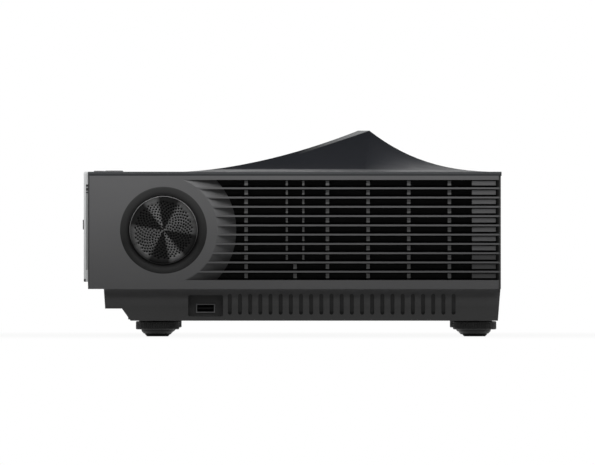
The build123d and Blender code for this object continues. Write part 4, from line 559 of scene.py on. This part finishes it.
# Lower tray
GROOVE_DEPTH = (TRAY_FACE - 0.0019, TRAY_FACE - 0.0004)
GROOVE_FLOOR = (TRAY_FACE - 0.0030, TRAY_FACE - 0.0024)
GROOVES_START = (POCKET_FRONT + 0.001, POCKET_FRONT + 0.0012)
GROOVE_FOOT = (0.0180, 0.0192)
# Painted shade: the grooves darken with depth and are black at their foot.
GROOVE_FOOT_SHADE_GREY = 0.0026
GROOVE_SHADE_GREY = 0.0169
TRAY_SKIN = (TRAY_FACE - 0.0002, TRAY_FACE - 0.0001)
TRAY_PALING = (0.022, 0.034)
# Painted light: the upper face is lifted against the side panel's overhang shade.
TRAY_TOP_LIT_TONE = (0.104, 0.104, 0.105, 1)


def shade_tray(s, tint):
    """The outer face pales upwards as painted light against the shade of the side panel above, and its vent
    grooves get black with depth as painted shade.
    """
    depth = s.math("ABSOLUTE", s.axis("Y"))
    up = s.axis("Z")
    # Painted light: the outer face pales towards its top.
    lit_skin = s.mix(s.ramp(up, *TRAY_PALING), tint, TRAY_TOP_LIT_TONE)
    tint = s.mix(s.ramp(depth, *TRAY_SKIN), tint, lit_skin)
    # Painted shade: the vent grooves get black with depth and at their foot.
    groove = s.product(s.fall(depth, *GROOVE_DEPTH), s.ramp(depth, *GROOVE_FLOOR),
                       s.ramp(s.axis("X"), *GROOVES_START))
    black = s.mix(s.ramp(up, *GROOVE_FOOT), grey(GROOVE_FOOT_SHADE_GREY), grey(GROOVE_SHADE_GREY))
    return s.mix(groove, tint, black)


# Sockets: spans in metres from the mouth inwards
SOCKET_LIP = (0.0002, 0.0003)
TONGUE_FRONT = (0.0014, 0.00145)
TONGUE_BACK = (0.0016, 0.00165)
# The insulator's colour, also used as painted shade over the shell's inner walls.
INSULATOR_AND_SHADE_TONE = (0.0039, 0.0039, 0.0046, 1)
TONGUE_TONE = (0.029, 0.029, 0.03, 1)


def socket_shade(letter, mouth, spec):
    """Bright lip at the mouth of a socket, black further in for the insulator and as painted shade over the
    shell's inner walls, and a paler end on its tongue.
    """
    def shade(s, tint):
        depth = s.math("SUBTRACT", s.axis(letter), mouth)
        inside = s.ramp(depth, *SOCKET_LIP)
        s.specular(s.ramp(inside, 0.0, 1.0, spec, MATT_SPECULAR))
        tongue = s.product(s.ramp(depth, *TONGUE_FRONT), s.fall(depth, *TONGUE_BACK))
        # Painted shade: the inside of the socket past its lip is black.
        return s.mix(inside, tint, s.mix(tongue, INSULATOR_AND_SHADE_TONE, TONGUE_TONE))
    return shade


# Boards and phosphor wheel
TRACK_PITCH = 0.0016
TRACK_EDGE = (0.3, 0.5)
BANK_NOISE = (60.0, 1.0)
BANK_EDGE = (0.48, 0.52)
TRACK_TONE = (0.039, 0.13, 0.065, 1)
PHOSPHOR_START = (0.0165, 0.0168)
WHEEL_TONE = (0.78, 0.78, 0.793, 1)


def board_shade(s, tint):
    """Copper runs under the solder mask."""
    runs = s.math("SINE", s.product(s.axis("X"), 2 * math.pi / TRACK_PITCH))
    share = s.product(s.ramp(runs, *TRACK_EDGE), s.ramp(s.noise(*BANK_NOISE), *BANK_EDGE))
    return s.mix(share, tint, TRACK_TONE)


def phosphor_shade(s, tint):
    """A yellow track near the rim of a silver disc."""
    low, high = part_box("phosphor_wheel")
    across = s.math("SUBTRACT", s.axis("Y"), (low[1] + high[1]) / 2)
    up = s.math("SUBTRACT", s.axis("Z"), (low[2] + high[2]) / 2)
    return s.mix(s.ramp(s.distance(across, up), *PHOSPHOR_START), WHEEL_TONE, tint)


def finishes():
    """A finish for each of the record's material slots, and for the pieces in OWN_FINISH."""
    usb_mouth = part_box("side_usb_socket")[0][1]
    rear_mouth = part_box("media_sockets")[0][0]
    return {
        "case": moulded("case_plastic", CASE_TONE, 0.5, shade=shade_case),
        "case_top": moulded("cover_plastic", HOOD_TONE, 0.52, shade=shade_cover),
        "tray": plain("tray_plastic", (0.047, 0.047, 0.047), 0.6, spec=0.2, grain=1800.0,
                      depth=0.00005, shade=shade_tray),
        "front": plain("front_plastic", (0.078, 0.078, 0.079), 0.5, spec=0.3, shade=shade_front),
        "bezel": plain("bezel_plastic", (0.0156, 0.0156, 0.0169), 0.4, spec=0.35),
        "window": glass("window_glass", (0.0078, 0.0091, 0.0143, 1)),
        "ir_window": plain("receiver_window", (0.0065, 0.0046, 0.0052), 0.15, spec=0.1, depth=0.000005),
        "rear_plate": plain("rear_powder_coat", (0.143, 0.143, 0.144), 0.55, spec=0.3, grain=1500.0,
                            depth=0.00006, shade=shade_rear_plate),
        "rear_trim": plain("rear_silver_trim", (0.78, 0.793, 0.793), 0.35, shade=shade_rear_trim),
        "socket_metal": moulded("socket_nickel", (0.39, 0.39, 0.397), 0.35,
                                shade=socket_shade("X", rear_mouth, 0.5)),
        "side_socket": moulded("side_socket_nickel", (0.195, 0.195, 0.198), 0.4,
                               shade=socket_shade("Y", usb_mouth, 0.2)),
        "socket_plastic": plain("socket_plastic", (0.013, 0.013, 0.0137), 0.3),
        "steel": brushed("zinc_steel", (0.45, 0.45, 0.46), 0.35, (40.0, 900.0, 900.0)),
        "cast_aluminium": plain("blasted_aluminium", (0.50, 0.50, 0.51), 0.5, metal=1.0, depth=0.00008),
        "board": plain("solder_mask", (0.013, 0.065, 0.029), 0.3, shade=board_shade),
        "lens_black": plain("flat_black", (0.013, 0.013, 0.0143), 0.65, spec=0.3),
        "lens_glass": glass("lens_glass", (0.013, 0.013, 0.029, 1)),
        "mirror": plain("front_mirror", (0.85, 0.86, 0.88), 0.03, metal=1.0, depth=0.000002),
        "laser_block": plain("cold_plate", (0.30, 0.15, 0.06), 0.4, metal=0.8),
        "fan_plastic": plain("fan_plastic", (0.013, 0.013, 0.0137), 0.45),
        "speaker_black": plain("stamped_black", (0.0078, 0.0078, 0.0078), 0.6, spec=0.2),
        "speaker_cone": plain("coated_paper", (0.0078, 0.0078, 0.0084), 0.8, spec=0.1, grain=700.0,
                              depth=0.0001),
        "grille": plain("grille_metal", (0.039, 0.039, 0.04), 0.4),
        "phosphor": plain("phosphor", (0.80, 0.62, 0.08), 0.7, shade=phosphor_shade),
        "keys": plain("key_plastic", (0.182, 0.182, 0.185), 0.42, spec=0.45),
        "foot_black": plain("foot_plastic", (0.023, 0.023, 0.023), 0.5, spec=0.2),
        "foot_rubber": plain("foot_rubber", (0.0091, 0.0091, 0.0091), 0.8, spec=0.05, grain=500.0,
                             depth=0.0001),
        "brass": brushed("turned_brass", (0.60, 0.42, 0.16), 0.3, (900.0, 900.0, 60.0)),
        "filter_cloth": woven("filter_cloth", 0.009),
    }


# Pieces that look unlike the rest of their slot
OWN_FINISH = {"side_usb_socket": "side_socket", "front_panel": "front"}


def dress_all(made):
    for part in frame["record"]["subparts"]:
        finish = made[OWN_FINISH.get(part["node"], part["material_slot"])]
        materials = NODES[part["node"]].data.materials
        materials.clear()
        materials.append(finish.material)


# Speaker grilles: a domed disc of spun metal with round holes, in a thin bright rim
HOLE_SPREAD = 0.001155
HOLE_RADIUS = 0.0007
HOLE_FIELD = 0.0216
HOLE_SIDES = 12
HOLE_MARGIN = 0.97
GOLDEN_ANGLE = math.pi * (3 - math.sqrt(5))
GUIDE_RINGS = ((0.905, 90), (0.95, 110))
DISC_SIDES = 128
INSIDE_ONLY = 1
MERGE_DISTANCE = 1e-6
SHEET = 0.0006
FLANGE = 0.0012
RIM_WIDTH = 0.0004
RIM_PLAY = 0.00005
RIM_PROUD = 0.0003
RIM_BEVEL = 0.0001
RIM_LIT = (-0.010, 0.018)
RIM_SHADE_GREY = 0.026

# Spun metal: its grooves, streaks and the fall of its painted sheen outside the holes
SPIN_PITCH = 0.00022
STREAK_NOISE = (1400.0, 2.0)
STREAK_LEVELS = (0.85, 1.15)
SHEEN_END = (HOLE_FIELD - 0.001, HOLE_FIELD + 0.003)
SHEEN_END_LEVEL = 0.62
SHEEN_LEAST = 0.07
SPUN_DARK_GREY = 0.0039
PAINTED_SHEEN_GREY = 0.221
SPUN_ROUGH = 0.55
SPUN_SPECULAR = 0.03

# Lobes of painted sheen round the spun disc: middle, flat half width and fall in degrees, and strength
SHEEN_LOBES = (
    (-136, 12, 12, 0.58),
    (-171, 12, 12, 0.52),
    (-65, 5, 14, 0.72),
    (5, 4, 14, 0.48),
    (38, 16, 13, 0.58),
    (113, 4, 14, 0.75),
)


def hole_places():
    """Centres spread as in a sunflower: one golden angle per hole, at evenly growing area."""
    places = []
    for i in range(1, int((HOLE_FIELD / HOLE_SPREAD) ** 2)):
        radius, angle = HOLE_SPREAD * math.sqrt(i), GOLDEN_ANGLE * i
        places.append(Vector((radius * math.cos(angle), radius * math.sin(angle))))
    return places


def ring(radius, count, centre=(0.0, 0.0)):
    return [Vector((centre[0] + radius * math.cos(2 * math.pi * i / count),
                    centre[1] + radius * math.sin(2 * math.pi * i / count))) for i in range(count)]


def loop_edges(first, count):
    return [(first + i, first + (i + 1) % count) for i in range(count)]


def holed_disc(radius):
    """Points and triangles of a flat disc with round holes cut out."""
    points, edges, centres = [], [], hole_places()
    for centre in centres:
        edges += loop_edges(len(points), HOLE_SIDES)
        points += ring(HOLE_RADIUS, HOLE_SIDES, centre)
    for share, count in GUIDE_RINGS:
        points += ring(radius * share, count)
    edges += loop_edges(len(points), DISC_SIDES)
    points += ring(radius, DISC_SIDES)
    made = mathutils.geometry.delaunay_2d_cdt(points, edges, [], INSIDE_ONLY, MERGE_DISTANCE)
    points, faces = made[0], made[2]
    holes = mathutils.kdtree.KDTree(len(centres))
    for i, centre in enumerate(centres):
        holes.insert((centre[0], centre[1], 0), i)
    holes.balance()
    kept = []
    for face in faces:
        middle = sum((points[i] for i in face), Vector((0, 0))) / len(face)
        from_hole = holes.find((middle[0], middle[1], 0))[2]
        if from_hole > HOLE_RADIUS * HOLE_MARGIN and middle.length < radius:
            kept.append(face)
    return points, kept


def spun_metal():
    """Black spun metal with a painted sheen: brighter lobes in its colour fan out from the middle, as the
    sheen of its circular brushing would.
    """
    s = Shader("spun_metal")
    across, up = s.axis("X"), s.axis("Z")
    angle = s.math("ARCTAN2", up, across)
    fan = SHEEN_LEAST
    for middle, flat, fall, level in SHEEN_LOBES:
        near = s.math("COSINE", s.math("SUBTRACT", angle, math.radians(middle)))
        low, high = math.cos(math.radians(flat + fall)), math.cos(math.radians(flat))
        fan = s.math("MAXIMUM", fan, s.ramp(near, low, high, 0.0, level, "SMOOTHSTEP"))
    radius = s.distance(across, up)
    streak = s.ramp(s.noise(*STREAK_NOISE), *NOISE_SPAN, *STREAK_LEVELS)
    sheen = s.product(fan, streak, s.ramp(radius, *SHEEN_END, 1.0, SHEEN_END_LEVEL))
    # Painted sheen: the lobes brighten the base colour.
    s.set(Base_Color=s.mix(sheen, grey(SPUN_DARK_GREY), grey(PAINTED_SHEEN_GREY)), Roughness=SPUN_ROUGH)
    grooves = s.math("SINE", s.product(radius, 2 * math.pi / SPIN_PITCH))
    return s.specular(SPUN_SPECULAR).bump(grooves, distance=0.000015, strength=0.35).material


def shade_rim(s, tint):
    """The rim's upper half is a painted highlight and the rest is painted shade."""
    return s.mix(s.ramp(s.axis("Z"), *RIM_LIT), grey(RIM_SHADE_GREY), tint)


def lathe(mesh, outline, turns):
    """Sweeps an outline of (radius, height) points round the local height axis, which is Y here."""
    rows = []
    for i in range(turns):
        angle = 2 * math.pi * i / turns
        rows.append([mesh.verts.new((r * math.cos(angle), h, r * math.sin(angle))) for r, h in outline])
    for i, row in enumerate(rows):
        following = rows[(i + 1) % turns]
        for j in range(len(outline)):
            k = (j + 1) % len(outline)
            mesh.faces.new((row[j], row[k], following[k], following[j]))
    bmesh.ops.recalc_face_normals(mesh, faces=mesh.faces)


def domed_mesh(points, faces, rise, sign):
    """The flat disc bent to a dome that faces left for a sign of -1 and right for 1."""
    mesh = bmesh.new()
    verts = []
    for point in points:
        share = min(1.0, point.length / GRILLE_RADIUS)
        verts.append(mesh.verts.new((point[0], sign * -rise * share ** 2, point[1])))
    for face in faces:
        mesh.faces.new([verts[i] for i in face])
    for loose in [vert for vert in mesh.verts if not vert.link_faces]:
        mesh.verts.remove(loose)
    bmesh.ops.recalc_face_normals(mesh, faces=mesh.faces)
    if mesh.faces[0].normal[1] * sign < 0:
        bmesh.ops.reverse_faces(mesh, faces=mesh.faces)
    return mesh


def rim_mesh(rise, sign):
    """A thin ring with a bevelled lip, round the foot of the dome."""
    inner, outer = GRILLE_RADIUS - RIM_WIDTH, GRILLE_RADIUS - RIM_PLAY
    foot, lip = -rise - FLANGE, -rise + RIM_PROUD
    outline = ((inner, foot), (inner, lip - RIM_BEVEL), (inner + RIM_BEVEL, lip),
               (outer - RIM_BEVEL, lip), (outer, lip - RIM_BEVEL), (outer, foot))
    mesh = bmesh.new()
    lathe(mesh, [(radius, sign * height) for radius, height in outline], DISC_SIDES)
    return mesh


def add_grilles():
    points, faces = holed_disc(GRILLE_RADIUS - RIM_WIDTH)
    metal = spun_metal()
    bright = plain("bright_rim", (0.546, 0.546, 0.552), 0.4, spec=0.1, shade=shade_rim).material
    for side, sign in (("left", -1), ("right", 1)):
        low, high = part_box(f"{side}_speaker_grille")
        crown = max(abs(low[1]), abs(high[1]))
        rise = crown - min(abs(low[1]), abs(high[1])) - FLANGE
        disc = mesh_object(f"{side}_grille_disc", domed_mesh(points, faces, rise, sign), smooth=True)
        disc.location = (SPEAKER[0], sign * crown, SPEAKER[2])
        thick = disc.modifiers.new("thickness", "SOLIDIFY")
        thick.thickness = SHEET
        thick.offset = -1
        place_piece(disc, metal, "root")
        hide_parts(f"{side}_speaker_grille")
        rim = mesh_object(f"{side}_grille_rim", rim_mesh(rise, sign), smooth=True)
        rim.location = disc.location
        place_piece(rim, bright, "root")


# Foot gaskets: a thin rubber ring in the gap between each pad and its collar
GASKET_WIDTH = 0.0040
GASKET_INSET = 0.0002
GASKET_FOOT = 0.00172
GASKET_HEAD = 0.00206
GASKET_SIDES = 64


def add_foot_gaskets():
    rubber = plain("gasket_rubber", (0.0078, 0.0078, 0.0078), 0.8, spec=0.05).material
    for corner in ("front_left", "front_right", "rear_left", "rear_right"):
        low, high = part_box(f"foot_pad_{corner}")
        radius = (high[0] - low[0]) / 2
        inner, outer = radius - GASKET_WIDTH, radius - GASKET_INSET
        outline = ((inner, GASKET_FOOT), (inner, GASKET_HEAD), (outer, GASKET_HEAD), (outer, GASKET_FOOT))
        mesh = bmesh.new()
        lathe(mesh, outline, GASKET_SIDES)
        gasket = mesh_object(f"foot_gasket_{corner}", mesh)
        gasket.rotation_euler = (math.pi / 2, 0, 0)
        gasket.location = ((low[0] + high[0]) / 2, (low[1] + high[1]) / 2, 0)
        place_piece(gasket, rubber, f"foot_pad_{corner}")


add_camera()
add_world()
add_floor()
add_lights()
dress_all(finishes())
add_grilles()
add_foot_gaskets()

bpy.context.scene.view_settings.view_transform = "Standard"
